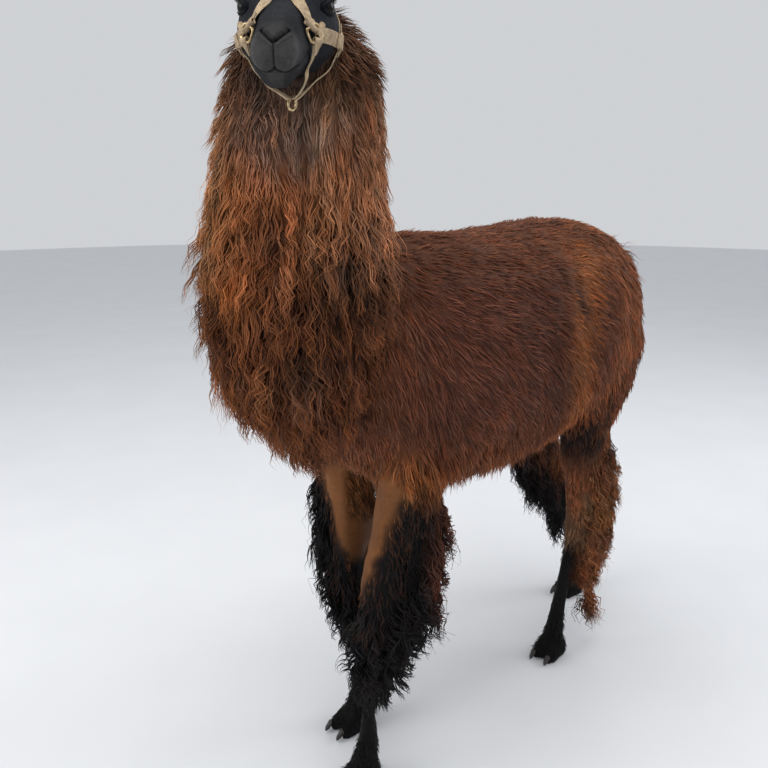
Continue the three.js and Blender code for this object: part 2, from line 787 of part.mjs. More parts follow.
for (const [name, leg] of Object.entries(legs)) {
  const front = FORWARD;
  const limb = new Limb(leg.shape, front, 2.1);
  const rings = 13;
  const sides = 8;
  const shape = solidOf(limb.geometry(rings, sides));
  const room = solidOf(limb.geometry(rings, sides, GAP));
  const body = [trunkRoom, neckRoom];
  const upper = shape.trimByPlane(FLOOR_NORMAL, leg.jointHeight + GAP / 2);
  addPiece(name + "_upper_leg", mainPiece(wasm.Manifold.difference([upper, ...body])), brownWool);
  const lower = shape
    .trimByPlane([0, 0, -1], -(leg.jointHeight - GAP / 2))
    .trimByPlane(FLOOR_NORMAL, FETLOCK_HEIGHT + GAP / 2);
  addPiece(name + "_lower_leg", mainPiece(lower), darkWool);
  const nails = [1, -1].map((side) => solidOf(atFoot(nailGeometry(side), leg.foot)));
  const toes = [1, -1].map((side) => solidOf(atFoot(toeGeometry(side), leg.foot)));
  const pastern = shape.trimByPlane([0, 0, -1], -(FETLOCK_HEIGHT - GAP / 2));
  const foot = wasm.Manifold.union([pastern, ...toes]).trimByPlane(FLOOR_NORMAL, 0);
  const nailRoom = wasm.Manifold.union(nails);
  addPiece(name + "_foot", mainPiece(foot.subtract(nailRoom)), darkWool);
  nails.forEach((nail, i) => {
    const clear = nail.subtract(foot);
    addPiece(name + "_nail_" + (i ? "right" : "left"), mainPiece(clear), hornNail);
  });
  const fringe = solidOf(new Limb(fringes[name], front).geometry(8, 8));
  addPiece(name + "_wool", mainPiece(wasm.Manifold.difference([fringe, room, ...body])), darkWool);
}

// The origin is the middle of the base.
const extent = new THREE.Box3().setFromObject(llama, true);
const middle = extent.getCenter(new THREE.Vector3());
llama.position.set(-middle.x, -middle.y, -extent.min.z);

export default llama;
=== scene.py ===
import math
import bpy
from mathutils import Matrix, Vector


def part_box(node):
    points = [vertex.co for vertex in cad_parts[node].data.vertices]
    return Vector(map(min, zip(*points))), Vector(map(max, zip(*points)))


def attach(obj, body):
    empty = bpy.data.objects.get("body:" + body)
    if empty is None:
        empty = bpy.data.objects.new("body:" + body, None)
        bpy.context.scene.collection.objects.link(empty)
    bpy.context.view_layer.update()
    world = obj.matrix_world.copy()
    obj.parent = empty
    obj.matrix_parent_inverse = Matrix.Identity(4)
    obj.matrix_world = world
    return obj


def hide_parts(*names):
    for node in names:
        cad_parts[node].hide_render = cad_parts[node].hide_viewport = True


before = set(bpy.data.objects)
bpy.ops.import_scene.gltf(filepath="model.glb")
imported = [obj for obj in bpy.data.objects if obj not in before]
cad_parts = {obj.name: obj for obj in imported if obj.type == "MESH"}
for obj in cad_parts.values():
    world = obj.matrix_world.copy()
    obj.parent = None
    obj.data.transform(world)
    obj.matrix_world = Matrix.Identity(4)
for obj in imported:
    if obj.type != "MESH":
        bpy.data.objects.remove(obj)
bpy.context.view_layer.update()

from types import SimpleNamespace

import bmesh
import bpy
import numpy as np
from bpy.props import FloatProperty, FloatVectorProperty, IntProperty, PointerProperty
from mathutils import Matrix, Vector
from mathutils.bvhtree import BVHTree
from mathutils.kdtree import KDTree

bl_info = {
    "name": "Llama",
    "version": (1, 0, 0),
    "blender": (4, 5, 0),
    "location": "View3D > Sidebar > Llama",
    "description": "Skin, wool, eyes, nails and halter of a standing llama",
    "category": "Object",
}

MM = 0.001

# ---------------------------------------------------------------- frames

# The head's own frame: the nose points to -Y, the crown to +Z, the llama's left is +X.
HEAD_YAW = math.radians(47.7)
HEAD_PITCH = math.radians(18.2)
HEAD_PLACE = Vector((45, -449, 1502)) * MM
EYE_MIDDLE = Vector((0, -113, 19)) * MM
EYE_SIDE = 51 * MM
EYE_RADIUS = 18 * MM

HEAD_TO_BODY = (
    Matrix.Translation(HEAD_PLACE) @ Matrix.Rotation(HEAD_YAW, 4, "Z") @ Matrix.Rotation(HEAD_PITCH, 4, "X")
)


def middle_of(node):
    low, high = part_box(node)
    return (low + high) / 2


# The body's own frame has its middle plane on the withers; the row's frame is centred on the base.
EYES_NOW = (middle_of("eye_left") + middle_of("eye_right")) / 2
ROW_TO_BODY = HEAD_TO_BODY @ EYE_MIDDLE - EYES_NOW
ROW_TO_BODY.z = 0
HEAD_TO_ROW = Matrix.Translation(-ROW_TO_BODY) @ HEAD_TO_BODY
ROW_TO_HEAD = HEAD_TO_ROW.inverted()


def moved(points, matrix):
    """Points, as an array of rows, taken through a matrix."""
    turn = np.array(matrix.to_3x3())
    return points @ turn.T + np.array(matrix.translation)


def turned(vectors, matrix):
    return vectors @ np.array(matrix.to_3x3()).T


def in_body(points):
    return points + np.array(ROW_TO_BODY)


# ---------------------------------------------------------------- sums on arrays


def ease(low, high, value):
    """0 below low and 1 above high, with a soft step between; low may be the larger."""
    t = np.clip((value - low) / (high - low), 0, 1)
    return t * t * (3 - 2 * t)


def bell(value, middle, reach):
    return np.exp(-(((value - middle) / reach) ** 2))


def mix(first, second, amount):
    amount = np.asarray(amount)[..., None]
    return first * (1 - amount) + second * amount


def unit(vectors):
    return vectors / np.maximum(np.linalg.norm(vectors, axis=-1, keepdims=True), 1e-9)


def dot(first, second):
    return np.sum(first * second, axis=-1, keepdims=True)


def cloud(points, size, seed):
    """Soft noise from -1 to 1 over a space of cells of the given size."""
    cell = points / size + seed * 7.13
    base = np.floor(cell).astype(np.int64)
    part = cell - base
    part = part * part * (3 - 2 * part)
    total = np.zeros(len(points))
    for corner in np.ndindex(2, 2, 2):
        spot = base + corner
        code = spot[:, 0] * 73856093 ^ spot[:, 1] * 19349663 ^ spot[:, 2] * 83492791 ^ seed * 2654435
        code = ((code ^ (code >> 13)) * 1274126177) & 0xFFFFFFFF
        code = ((code ^ (code >> 15)) * 2246822519) & 0xFFFFFFFF
        weight = np.prod(np.where(corner, part, 1 - part), axis=1)
        total += weight * ((code >> 8 & 0xFFFF) / 32767.5 - 1)
    return total


def linear(colour):
    """A colour picked on a screen, as the amounts of light that shaders use."""
    c = np.asarray(tuple(colour))
    return np.where(c < 0.04045, c / 12.92, ((c + 0.055) / 1.055) ** 2.4)


# ---------------------------------------------------------------- what a user would change


def length_setting(name, description, default):
    return FloatProperty(name=name, description=description, default=default, unit="LENGTH")


def colour_setting(name, description, default):
    return FloatVectorProperty(name=name, description=description, default=default, subtype="COLOR_GAMMA")


class SkinSettings(bpy.types.PropertyGroup):
    body_grain: length_setting("Body grain", "Size of the skin's faces on the body", 10 * MM)
    head_grain: length_setting("Head grain", "Size of the skin's faces on the head", 2.4 * MM)
    steps: IntProperty(name="Steps", description="Steps that draw the skin in under the coat", default=8)


class ColourSettings(bpy.types.PropertyGroup):
    face: colour_setting("Face", "Short hair of the face", (0.135, 0.14, 0.165))
    muzzle: colour_setting("Muzzle", "Fine hair of the nose and lips", (0.247, 0.243, 0.24))
    black: colour_setting("Black", "Wool and hair of the legs", (0.10, 0.088, 0.095))
    red_brown: colour_setting("Red brown", "Wool of the neck and back", (0.60, 0.368, 0.24))
    rust: colour_setting("Rust", "Brightest wool of the chest and hip", (0.685, 0.41, 0.225))
    maroon: colour_setting("Maroon", "Dark wool of the flank and rump", (0.395, 0.235, 0.18))
    umber: colour_setting("Umber", "Grey brown shade in the chest", (0.33, 0.255, 0.22))
    tan: colour_setting("Tan", "Short hair of the forearm", (0.49, 0.315, 0.185))
    buff: colour_setting("Buff", "Pale hair of the armpit and belly", (0.66, 0.49, 0.36))


# ---------------------------------------------------------------- working on meshes


def select_only(*pieces):
    if bpy.context.object and bpy.context.object.mode != "OBJECT":
        bpy.ops.object.mode_set(mode="OBJECT")
    bpy.ops.object.select_all(action="DESELECT")
    for piece in pieces:
        piece.select_set(True)
    bpy.context.view_layer.objects.active = pieces[0]


def apply_modifier(piece, kind, **values):
    select_only(piece)
    modifier = piece.modifiers.new(kind.title(), kind)
    for name, value in values.items():
        setattr(modifier, name, value)
    bpy.ops.object.modifier_apply(modifier=modifier.name)


def copy_of_nodes(name, nodes, grow=0.0):
    """One object from merged copies of CAD nodes, each grown a little so that neighbours meet."""
    copies = []
    for node in nodes:
        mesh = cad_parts[node].data.copy()
        mesh.materials.clear()
        piece = bpy.data.objects.new(name, mesh)
        bpy.context.scene.collection.objects.link(piece)
        copies.append(piece)
    select_only(*copies)
    if len(copies) > 1:
        bpy.ops.object.join()
    whole = bpy.context.object
    whole.name = name
    bpy.ops.object.mode_set(mode="EDIT")
    bpy.ops.mesh.select_all(action="SELECT")
    bpy.ops.mesh.remove_doubles(threshold=0.01 * MM)
    bpy.ops.object.mode_set(mode="OBJECT")
    apply_modifier(whole, "DISPLACE", strength=grow, mid_level=0)
    return whole


def keep_largest_island(piece):
    shape = bmesh.new()
    shape.from_mesh(piece.data)
    left = set(shape.verts)
    best = []
    while left:
        first = left.pop()
        island = [first]
        for vertex in island:
            for edge in vertex.link_edges:
                other = edge.other_vert(vertex)
                if other in left:
                    left.remove(other)
                    island.append(other)
        if len(island) > len(best):
            best = island
    kept = set(best)
    bmesh.ops.delete(shape, geom=[v for v in shape.verts if v not in kept], context="VERTS")
    shape.to_mesh(piece.data)
    shape.free()


def read(items, name, width, kind=np.float32):
    """What every item of a mesh says under a name: an array with a row for each."""
    values = np.empty(len(items) * width, kind)
    items.foreach_get(name, values)
    return values.reshape(-1, width)


def places(mesh):
    return read(mesh.vertices, "co", 3).astype(float)


def set_places(mesh, points):
    mesh.vertices.foreach_set("co", points.astype(np.float32).ravel())
    mesh.update()


def normals(mesh):
    return read(mesh.vertex_normals, "vector", 3).astype(float)


class Spread:
    """Evens out values on a mesh's vertices by averaging each with its neighbours."""

    def __init__(self, mesh):
        pairs = read(mesh.edges, "vertices", 2, np.int32)
        self.first = np.concatenate([pairs[:, 0], pairs[:, 1]])
        self.second = np.concatenate([pairs[:, 1], pairs[:, 0]])
        self.count = len(mesh.vertices)
        self.near = np.maximum(np.bincount(self.first, minlength=self.count), 1)

    def once(self, values):
        columns = [
            np.bincount(self.first, weights=values[self.second, k], minlength=self.count)
            for k in range(values.shape[1])
        ]
        return 0.5 * values + 0.5 * np.stack(columns, 1) / self.near[:, None]

    def times(self, values, rounds):
        flat = values.reshape(self.count, -1)
        for _ in range(rounds):
            flat = self.once(flat)
        return flat.reshape(values.shape)


def tube_faces(first, rows, sides, closed=False):
    """Four-cornered faces between rings of points that follow each other, from the point numbered `first`."""
    faces = []
    for row in range(rows if closed else rows - 1):
        here, ahead = first + row * sides, first + (row + 1) % rows * sides
        for k in range(sides):
            n = (k + 1) % sides
            faces.append((here + k, ahead + k, ahead + n, here + n))
    return faces


def flattened(vector, normal):
    """The part of a vector that lies across a normal, at unit length."""
    return (vector - normal * vector.dot(normal)).normalized()


def make_smooth(mesh):
    mesh.polygons.foreach_set("use_smooth", np.ones(len(mesh.polygons), bool))


def paint(mesh, name, colours):
    layer = mesh.color_attributes.new(name, "FLOAT_COLOR", "POINT")
    values = np.ones((len(mesh.vertices), 4), np.float32)
    values[:, :3] = colours
    layer.data.foreach_set("color", values.ravel())


# ---------------------------------------------------------------- regions of the body

LEGS = ("left_fore", "right_fore", "left_hind", "right_hind")
REGION_OF = {"trunk": "trunk", "neck": "neck", "tail": "tail", "head": "head", "lower_jaw": "head"}
REGION_OF.update(ear_left="ear", ear_right="ear")
for leg_name in LEGS:
    end = leg_name.split("_")[1]
    REGION_OF[leg_name + "_upper_leg"] = "upper_" + end
    REGION_OF[leg_name + "_lower_leg"] = "lower_leg"
    REGION_OF[leg_name + "_foot"] = "foot"
    REGION_OF[leg_name + "_wool"] = "wool_" + end

REGIONS = tuple(dict.fromkeys(REGION_OF.values()))
FLESH = [name for name in REGION_OF if not name.endswith("_wool")]

# The coat of each region, with lengths in millimetres. depth: from the skin to the outline; length and
# width of a lock; count: locks on a square centimetre; lift: degrees off the skin; droop: how far it
# bends down; wave and wavelength: size and length of its waves; clump: size of the bunches that locks
# draw into; pull: how far they do.
TRAITS = ("depth", "length", "width", "count", "lift", "droop", "wave", "wavelength", "clump", "pull")
LENGTHS = ("depth", "length", "width", "wave", "wavelength", "clump")
COAT = {
    "trunk": (13, 54, 1.45, 1.74, 10, 0.35, 2.4, 46, 19, 0.6),
    "neck": (23, 88, 1.45, 2.78, 23, 0.7, 5.6, 44, 25, 0.74),
    "tail": (14, 84, 1.9, 2.0, 20, 0.8, 4.5, 42, 22, 0.7),
    "head": (1, 6.5, 0.7, 4.4, 8, 0.0, 0.2, 9, 5, 0.3),
    "ear": (0.6, 8, 0.6, 7, 8, 0.0, 0.3, 9, 5, 0.3),
    "upper_fore": (11, 42, 1.7, 2.0, 14, 0.5, 2.6, 36, 17, 0.6),
    "upper_hind": (12, 48, 1.8, 1.7, 12, 0.5, 2.8, 40, 18, 0.6),
    "lower_leg": (3.5, 15, 1.0, 2.8, 18, 0.4, 1.0, 16, 10, 0.55),
    "foot": (1.6, 19, 0.95, 3.4, 30, 0.4, 0.8, 12, 9, 0.55),
    "wool_fore": (30, 96, 1.7, 2.0, 32, 1.35, 8.5, 42, 26, 0.92),
    "wool_hind": (26, 92, 1.7, 2.0, 28, 1.4, 8.0, 40, 24, 0.9),
}
COAT_TABLE = np.array([COAT[region] for region in REGIONS], float)
# What those traits become where the hair is short and lies close.
SHORT_HAIR = {"depth": 0.6, "length": 13, "width": 0.75, "count": 4.5, "wave": 0.5}

# The lower edge of the jaw and skull in the head's frame, in millimetres: the way ahead, and its height.
JAW_LINE = ((0, 62, 100, 134, 168, 204, 290), (-50, -84, -82, -74, -66, -60, -58))
THROAT_END = 230
WOOL_TOP = 0.72
KNEE_HEIGHT, KNEE_REACH = 0.32, 0.1
# Heights, and what lies there: the forearm's bare edge, the band before the hip, the neck's axis.
BARE_EDGE = ((0.42, 0.45, 0.51, 0.62, 0.70), (0.066, 0.074, 0.092, 0.126, 0.150))
HIP_LINE = ((0.74, 0.80, 0.90, 1.0, 1.10), (0.235, 0.205, 0.175, 0.205, 0.27))
NECK_ACROSS = ((0.9, 1.16, 1.28, 1.38), (0.006, 0.009, 0.021, 0.035))
NECK_REARWARD = ((0.9, 1.16, 1.38), (-0.402, -0.421, -0.429))
# How steeply the trunk's coat falls at each height, in degrees.
FALL_LINE = ((0.62, 0.72, 0.84, 0.96, 1.08, 1.16), (85, 68, 40, 28, 20, 8))


def parts(share):
    """The share of each region by its name, from a table with a row for each point."""
    return dict(zip(REGIONS, share.T))


class Outline:
    """The CAD nodes of flesh and wool as one surface, which tells the region that a point belongs to."""

    def __init__(self):
        points = []
        faces = []
        self.owner = []
        for node, region in REGION_OF.items():
            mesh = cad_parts[node].data
            start = len(points)
            points.extend(v.co.copy() for v in mesh.vertices)
            for face in mesh.polygons:
                faces.append([start + v for v in face.vertices])
                self.owner.append(REGIONS.index(region))
        self.tree = BVHTree.FromPolygons(points, faces)
        woolly = [REGIONS[owner].startswith("wool") for owner in self.owner]
        self.flesh = BVHTree.FromPolygons(points, [face for face, wool in zip(faces, woolly) if not wool])
        self.wool = BVHTree.FromPolygons(points, [face for face, wool in zip(faces, woolly) if wool])

    def from_flesh(self, points, reach):
        """How far each point is from the solids of flesh, up to `reach`."""
        found = (self.flesh.find_nearest(Vector(p), reach)[3] for p in points)
        return np.array([reach if far is None else far for far in found])

    def regions(self, points):
        """The region of each point. Below the jaw and behind the skull it is the neck."""
        owner = np.array([self.owner[self.tree.find_nearest(Vector(p))[2]] for p in points])
        ahead, height = (moved(points, ROW_TO_HEAD) / MM)[:, 1:].T * ((-1,), (1,))
        throat = (owner == REGIONS.index("head")) & (height < np.interp(ahead, *JAW_LINE) - 1)
        owner[throat & (ahead < THROAT_END)] = REGIONS.index("neck")
        fore = points[:, 1] < 0
        for i in np.flatnonzero(points[:, 2] < WOOL_TOP):
            if not REGIONS[owner[i]].startswith("wool") and self.in_wool(Vector(points[i])):
                owner[i] = REGIONS.index("wool_fore" if fore[i] else "wool_hind")
        # The knees of the forelegs are woolly all round.
        level = np.abs(points[:, 2] - KNEE_HEIGHT) < KNEE_REACH
        knee = (owner == REGIONS.index("lower_leg")) & fore & level
        owner[knee] = REGIONS.index("wool_fore")
        return owner

    def in_wool(self, point):
        """Whether a point is inside the hanging wool of a leg."""
        hit, facing, _, far = self.wool.find_nearest(point, 0.12)
        return hit is not None and far > 2.5 * MM and (point - hit).dot(facing) < 0


def shares(mesh, outline, rounds):
    """For each vertex, how much it belongs to each region."""
    owner = outline.regions(places(mesh))
    return Spread(mesh).times(np.eye(len(REGIONS))[owner], rounds)


def forearm_bareness(body, part):
    """1 on the front and inner side of the forearm, where the hair is short and tan."""
    x, z = np.abs(body[:, 0]), body[:, 2]
    ragged = 0.014 * cloud(body, 0.02, 9)
    inner = ease(0.014, -0.012, x - np.interp(z, *BARE_EDGE) + ragged)
    fore = np.clip((part["upper_fore"] + part["wool_fore"]) * 1.5, 0, 1)
    return inner * ease(0.415, 0.45, z) * ease(0.75, 0.69, z + ragged) * fore


def shank_front(body, part):
    """1 on the front of the left hind shank, where short pale hair shows between the locks."""
    x, y, z = body.T
    ragged = 0.012 * cloud(body, 0.02, 12)
    front = ease(0.405, 0.38, y + ragged) * ease(0.30, 0.35, z) * ease(0.55, 0.50, z)
    front = front * ease(0.152, 0.128, x + ragged)
    return front * (y > 0.1) * (x > 0) * np.clip((part["wool_hind"] + part["lower_leg"]) * 1.5, 0, 1)


def traits_of(points, share):
    """The coat's traits at each point, in metres where they are lengths."""
    body = in_body(points)
    x, y, z = body.T
    half = np.abs(x)
    part = parts(share)
    neck, trunk, wool = part["neck"], part["trunk"], part["wool_fore"]
    table = dict(zip(TRAITS, (share @ COAT_TABLE).T))

    def add(amount, **steps):
        for trait, step in steps.items():
            table[trait] += step * amount

    def scale(amount, **steps):
        for trait, step in steps.items():
            table[trait] *= 1 + step * amount

    # The neck's wool is shorter towards the head.
    scale(neck * ease(1.14, 1.32, z), depth=-0.42, length=-0.42, width=-0.25, wave=-0.5)
    add(neck * ease(1.28, 1.36, z), lift=8)
    # The knee's wool stands out in front and is short, and the forearm's fills its outer side.
    front = wool * ease(0.43, 0.36, z)
    add(front, lift=26)
    scale(front, droop=-0.5, length=-0.32)
    add(wool * ease(0.45, 0.5, z), lift=16 * (x > 0) * ease(0.61, 0.65, z) - 6)
    # The crown carries a tuft between the ears, the cheeks' hair grows longer towards the neck.
    across, ahead, up = moved(points, ROW_TO_HEAD).T
    crown = part["head"] * ease(-0.105, -0.07, ahead) * ease(0.03, 0.05, up)
    crown *= ease(0.05, 0.025, np.abs(across))
    add(crown, length=26, lift=16, droop=0.4, wave=2.2, wavelength=14, width=0.35, clump=5, pull=0.35)
    scale(crown, count=1.2)
    add(part["head"] * ease(-0.12, -0.06, ahead) * ease(0.03, 0.0, up), length=9, lift=8, wave=0.5)
    add(part["ear"] * ease(0.17, 0.2, up), length=-3)
    # The brisket's hair hangs between the forelegs.
    brisket = trunk * ease(0.075, 0.045, half) * ease(0.74, 0.68, z) * ease(-0.10, -0.16, y)
    behind = ease(-0.26, -0.23, y)
    add(brisket, length=60 * behind - 16, lift=44 * behind - 14, droop=0.8 * behind)
    # The shoulder's lowest hair hangs over the outside of the leg's wool.
    cuff = (trunk + part["upper_fore"] + wool) * ease(0.11, 0.14, x) * bell(z, 0.70, 0.045)
    add(cuff * ease(-0.13, -0.19, y), length=34, lift=16, droop=0.5)
    # The chest's lower edge and the belly's hair hang free, the back is smooth and short.
    add(neck * ease(0.88, 0.77, z), depth=20, droop=0.6)
    add(trunk * ease(0.76, 0.64, z), depth=8, lift=26, droop=0.8)
    scale(trunk * ease(1.0, 1.12, z), length=-0.2, depth=-0.2)
    # The thigh's inner side, the forearm's bare side and the front of the hind shank are short.
    inner = part["upper_hind"] * ease(0.10, 0.06, half) * ease(0.80, 0.70, z)
    bare = np.clip(forearm_bareness(body, part) + 0.8 * inner + 0.8 * shank_front(body, part), 0, 1)
    for trait, value in SHORT_HAIR.items():
        table[trait] = table[trait] * (1 - bare) + value * bare
    scale(bare, lift=-0.4, droop=-0.7)
    # Between the forelegs, high up, the hair of the right one's inner and rear side stands out.
    armpit = (wool + part["upper_fore"]) * ease(-0.14, -0.105, x) * (x < 0)
    add(armpit * ease(0.52, 0.57, z) * ease(-0.27, -0.22, y), length=36, lift=44)
    # The hind legs' lowest ringlets are full and hang free.
    ringlets = part["wool_hind"] * ease(0.30, 0.22, z)
    scale(ringlets, count=0.9, pull=-0.3)
    add(ringlets, lift=5, droop=0.5)
    # A fold in the coat in front of the hip.
    fold = trunk * bell(y, 0.165, 0.03) * bell(z, 0.99, 0.06)
    scale(fold, length=-0.5)
    add(fold, depth=7)
    # Hocks are shaggy, and a fringe hangs over the toes.
    shaggy = part["lower_leg"] * (ease(0.24, 0.34, z) + 0.5 * ease(0.15, 0.10, z))
    add(shaggy, length=16, depth=4, lift=8, wave=1.5)
    # Nothing reaches below the foot's own edge.
    table["length"] *= 0.35 + 0.65 * ease(0.0, 0.03, z)
    for trait in LENGTHS:
        table[trait] = table[trait] * MM
    # How much the locks differ in shade: least where the coat is soft and even.
    table["contrast"] = 1 - 0.45 * (trunk + part["upper_hind"]) - 0.5 * neck * ease(1.12, 1.28, z)
    return table


# ---------------------------------------------------------------- markings, painted light and shade, and the lie of the coat

# Amounts by which red, green and blue are changed: on the face, darker and bluish, partly its own blue black
# and partly a painted reflection of the sky; under the chin; on the neck's sides, a painted cool sky light.
FACE_TINT = np.array((0.38, 0.41, 0.45))
CHIN_TINT = np.array((1.75, 1.74, 1.64))
SIDE_TINT = np.array((0.86, 1.1, 1.2))


def neck_turn(body):
    """Degrees round the neck from its front, to the llama's left."""
    x, y, z = body.T
    return np.degrees(np.arctan2(x - np.interp(z, *NECK_ACROSS), np.interp(z, *NECK_REARWARD) - y))


def layered(base, layers):
    """A base colour under layers, each a colour and how far it covers."""
    for colour, cover in layers:
        base = mix(base, colour, cover)
    return base


def markings(points, share):
    """The colour of skin and coat at each point, in linear light: the markings, with painted light and shade.
    """
    tone = bpy.context.scene.llama_colours
    hue = SimpleNamespace(**{name: linear(getattr(tone, name)) for name in ColourSettings.__annotations__})
    body = in_body(points)
    side, y, z = body.T
    x = np.abs(side)
    part = parts(share)
    broad = cloud(body, 0.11, 1)
    patch = cloud(body, 0.045, 2)

    # Trunk: maroon flank, redder back, orange towards the belly and in a band before the hip.
    hip = np.interp(z, *HIP_LINE)
    trunk_layers = (
        (hue.red_brown, ease(1.02, 1.12, z) * 0.45),
        (hue.rust, ease(0.84, 0.66, z) * 0.5),
        (hue.red_brown, ease(-0.22, -0.34, y) * 0.35),
        (hue.maroon * 0.85, bell(y, hip - 0.115, 0.055) * ease(1.10, 1.0, z) * 0.8),
        (hue.rust * 1.12, bell(y, hip - 0.02, 0.058) * ease(1.15, 1.08, z) * 0.8),
        # Painted shade in the coat's fold before the hip.
        (hue.black, bell(y, 0.178, 0.015) * bell(z, 0.995, 0.05) * 0.95),
        (hue.red_brown * 1.15, ease(0.26, 0.36, y) * (0.62 + 0.3 * patch)),
    )
    under = ease(0.735, 0.68, z) * ease(-0.05, -0.25, y) * ease(0.17, 0.12, x)
    under_layers = (
        (hue.black, bell(y, 0.31, 0.07) * ease(0.72, 0.65, z) * 0.85),
        (hue.buff, under * 0.6),
    )
    trunk = layered(hue.maroon * 1.3, trunk_layers) * (1 - 0.22 * ease(1.02, 1.12, z))[:, None]
    trunk = layered(trunk, under_layers)

    # Neck: rust in front, brown behind, grey brown under the chin, with painted shade in the gaps between its
    # hanks.
    turn = neck_turn(body)
    front = bell(turn, 8, 44) * ease(1.33, 1.24, z)
    high = ease(1.02, 1.22, z)
    chin = bell(turn, 38, 34 - 18 * ease(1.34, 1.22, z)) * ease(1.235, 1.315, z)
    # Painted shade in the gaps between the hanks.
    gap_shade = bell(turn, 77, 18) * bell(z, 1.115, 0.085) + bell(turn, 36, 9) * bell(z, 1.165, 0.05)
    neck_layers = (
        (hue.red_brown, 0.35 + 0.55 * high + 0.3 * patch),
        (hue.rust, np.clip(front * (0.42 + 0.3 * high + 0.4 * patch), 0, 1)),
        (hue.maroon, ease(62, 92, np.abs(turn)) * 0.45 * (0.75 + 0.5 * broad)),
        (hue.umber * CHIN_TINT, np.clip(chin * 1.15, 0, 0.93)),
        (hue.umber, bell(turn, 49, 17) * bell(z, 0.965, 0.06) * 0.75),
        (hue.black, np.clip(gap_shade, 0, 1) * 0.85),
        (hue.buff, ease(0.80, 0.72, z) * ease(35, 90, np.abs(turn)) * 0.5),
        # A painted highlight on the neck's left side, along its edge against the shoulder.
        (hue.red_brown, bell(turn, 92, 12) * bell(z, 0.98, 0.14) * 0.6),
    )
    hanks = cloud(body * (1, 1, 0.35), 0.034, 11)
    # Painted light and shade: the upper neck is painted lighter, the neck's right edge darker, and its sides
    # and right edge cooler, as lit by the sky; the hanks vary in tone at random.
    right_edge = ease(24, -14, turn) * ease(0.93, 1.0, z)
    light = (0.7 + 1.5 * ease(1.08, 1.22, z) * ease(1.42, 1.34, z)) * (1 - 0.38 * right_edge)
    sides = np.clip(right_edge + ease(40, 72, np.abs(turn)), 0, 1) * ease(1.0, 1.16, z)
    painted_light_and_hanks = (light * (1 + 0.3 * hanks))[:, None] * mix(np.ones(3), SIDE_TINT, sides)
    neck = layered(hue.maroon, neck_layers) * painted_light_and_hanks

    # Legs: black, with a tan forearm and an orange brown hind shank.
    bare = forearm_bareness(body, part)
    shank = shank_front(body, part)
    sunlit = ease(-0.02, 0.02, side)
    tan = mix(hue.tan * 0.62, hue.tan * 1.12, ease(0.42, 0.62, z + 0.05 * patch))
    golden = mix(hue.red_brown * 1.15, hue.tan * 1.35, np.clip(0.35 + 0.9 * patch, 0, 1))
    stifle = ease(0.42, 0.36, y) * bell(z, 0.652, 0.078)
    outer_rear = ease(-0.24, -0.19, y) * ease(0.34, 0.46, z) * (side > 0)
    band = ease(0.13, 0.2, z) * ease(0.62, 0.56, z)
    fore_layers = (
        (hue.rust * 0.85, ease(0.62, 0.70, z + 0.03 * patch)),
        (tan, bare * 0.9),
    )
    hind_layers = (
        (hue.maroon, ease(0.64, 0.78, z) * 0.8),
        (hue.rust, bell(y, hip + 0.03, 0.06) * ease(0.70, 0.78, z) * 0.7),
        (hue.black, np.clip(stifle * (1.1 + 0.5 * patch), 0, 0.95)),
        (hue.tan, ease(0.10, 0.06, x) * ease(0.76, 0.66, z) * 0.6),
    )
    # The golden band is the wool's own colour, painted only on the sunlit left side; the right side's upper
    # wool is painted umber, as shade.
    hind_wool_layers = (
        (golden, band * (0.85 + 0.3 * patch) * sunlit),
        (hue.buff * 0.75, shank * 0.85),
        (hue.umber, (1 - sunlit) * ease(0.42, 0.6, z) * 0.6),
    )
    lower_layers = (
        (hue.buff * 0.8, shank * 0.7),
        (hue.red_brown, ease(0.36, 0.44, z) * (y > 0.1) * 0.5),
    )

    # Head: bluish black, greyer on the nose and round the lips, with painted shade over the nostrils and in
    # its creases and a painted highlight along the edge of the lip's plate.
    face = moved(points, ROW_TO_HEAD) / MM
    half, height = np.abs(face[:, 0]), face[:, 2]
    beside = half - np.interp(height, *LIP_PLATE)
    nose = ease(-246, -298, face[:, 1] + 0.35 * half) * (1 - 0.6 * ease(1, 11, beside))
    nose = nose * (1 - 0.35 * ease(-34, -50, height))
    # Painted shade over the nostrils, and a painted highlight along the edge of the lip's plate.
    tip = bell(height, 13, 12) * ease(32, 16, half) * ease(-200, -240, face[:, 1])
    rim = bell(beside, -1.5, 2.4) * ease(44, 30, height) * ease(-34, -26, height) * nose
    head = mix(hue.face * FACE_TINT, hue.muzzle, nose) * (1 - 0.64 * tip + 0.3 * rim)[:, None]
    # Painted shade in the nostrils, the lip's cleft and the mouth.
    head = mix(head, hue.black * 0.35, np.clip(crease_shade(face), 0, 1) * 0.85)

    colours = {
        "trunk": trunk,
        "neck": neck,
        "tail": mix(hue.maroon, hue.umber, 0.4),
        "head": head,
        "ear": hue.face * 0.9,
        "upper_fore": layered(hue.black, fore_layers),
        "upper_hind": layered(hue.red_brown, hind_layers),
        "lower_leg": layered(hue.black * 0.55, lower_layers),
        "foot": hue.black * 0.5,
        "wool_fore": layered(hue.black, ((hue.maroon, outer_rear * 0.8), (tan, bare**3 * 0.9))),
        "wool_hind": layered(hue.black, hind_wool_layers),
    }
    total = sum(colours[region] * part[region][:, None] for region in REGIONS)
    # Painted shade where the neck's coat meets the trunk's, over tone that differs at random.
    strength = (1 + 0.16 * broad + 0.14 * patch) * (1 - 1.6 * part["neck"] * part["trunk"])
    calm = part["head"] + part["ear"]
    strength = strength * (1 - calm) + (1 + 0.05 * patch) * calm
    return total * strength[:, None]


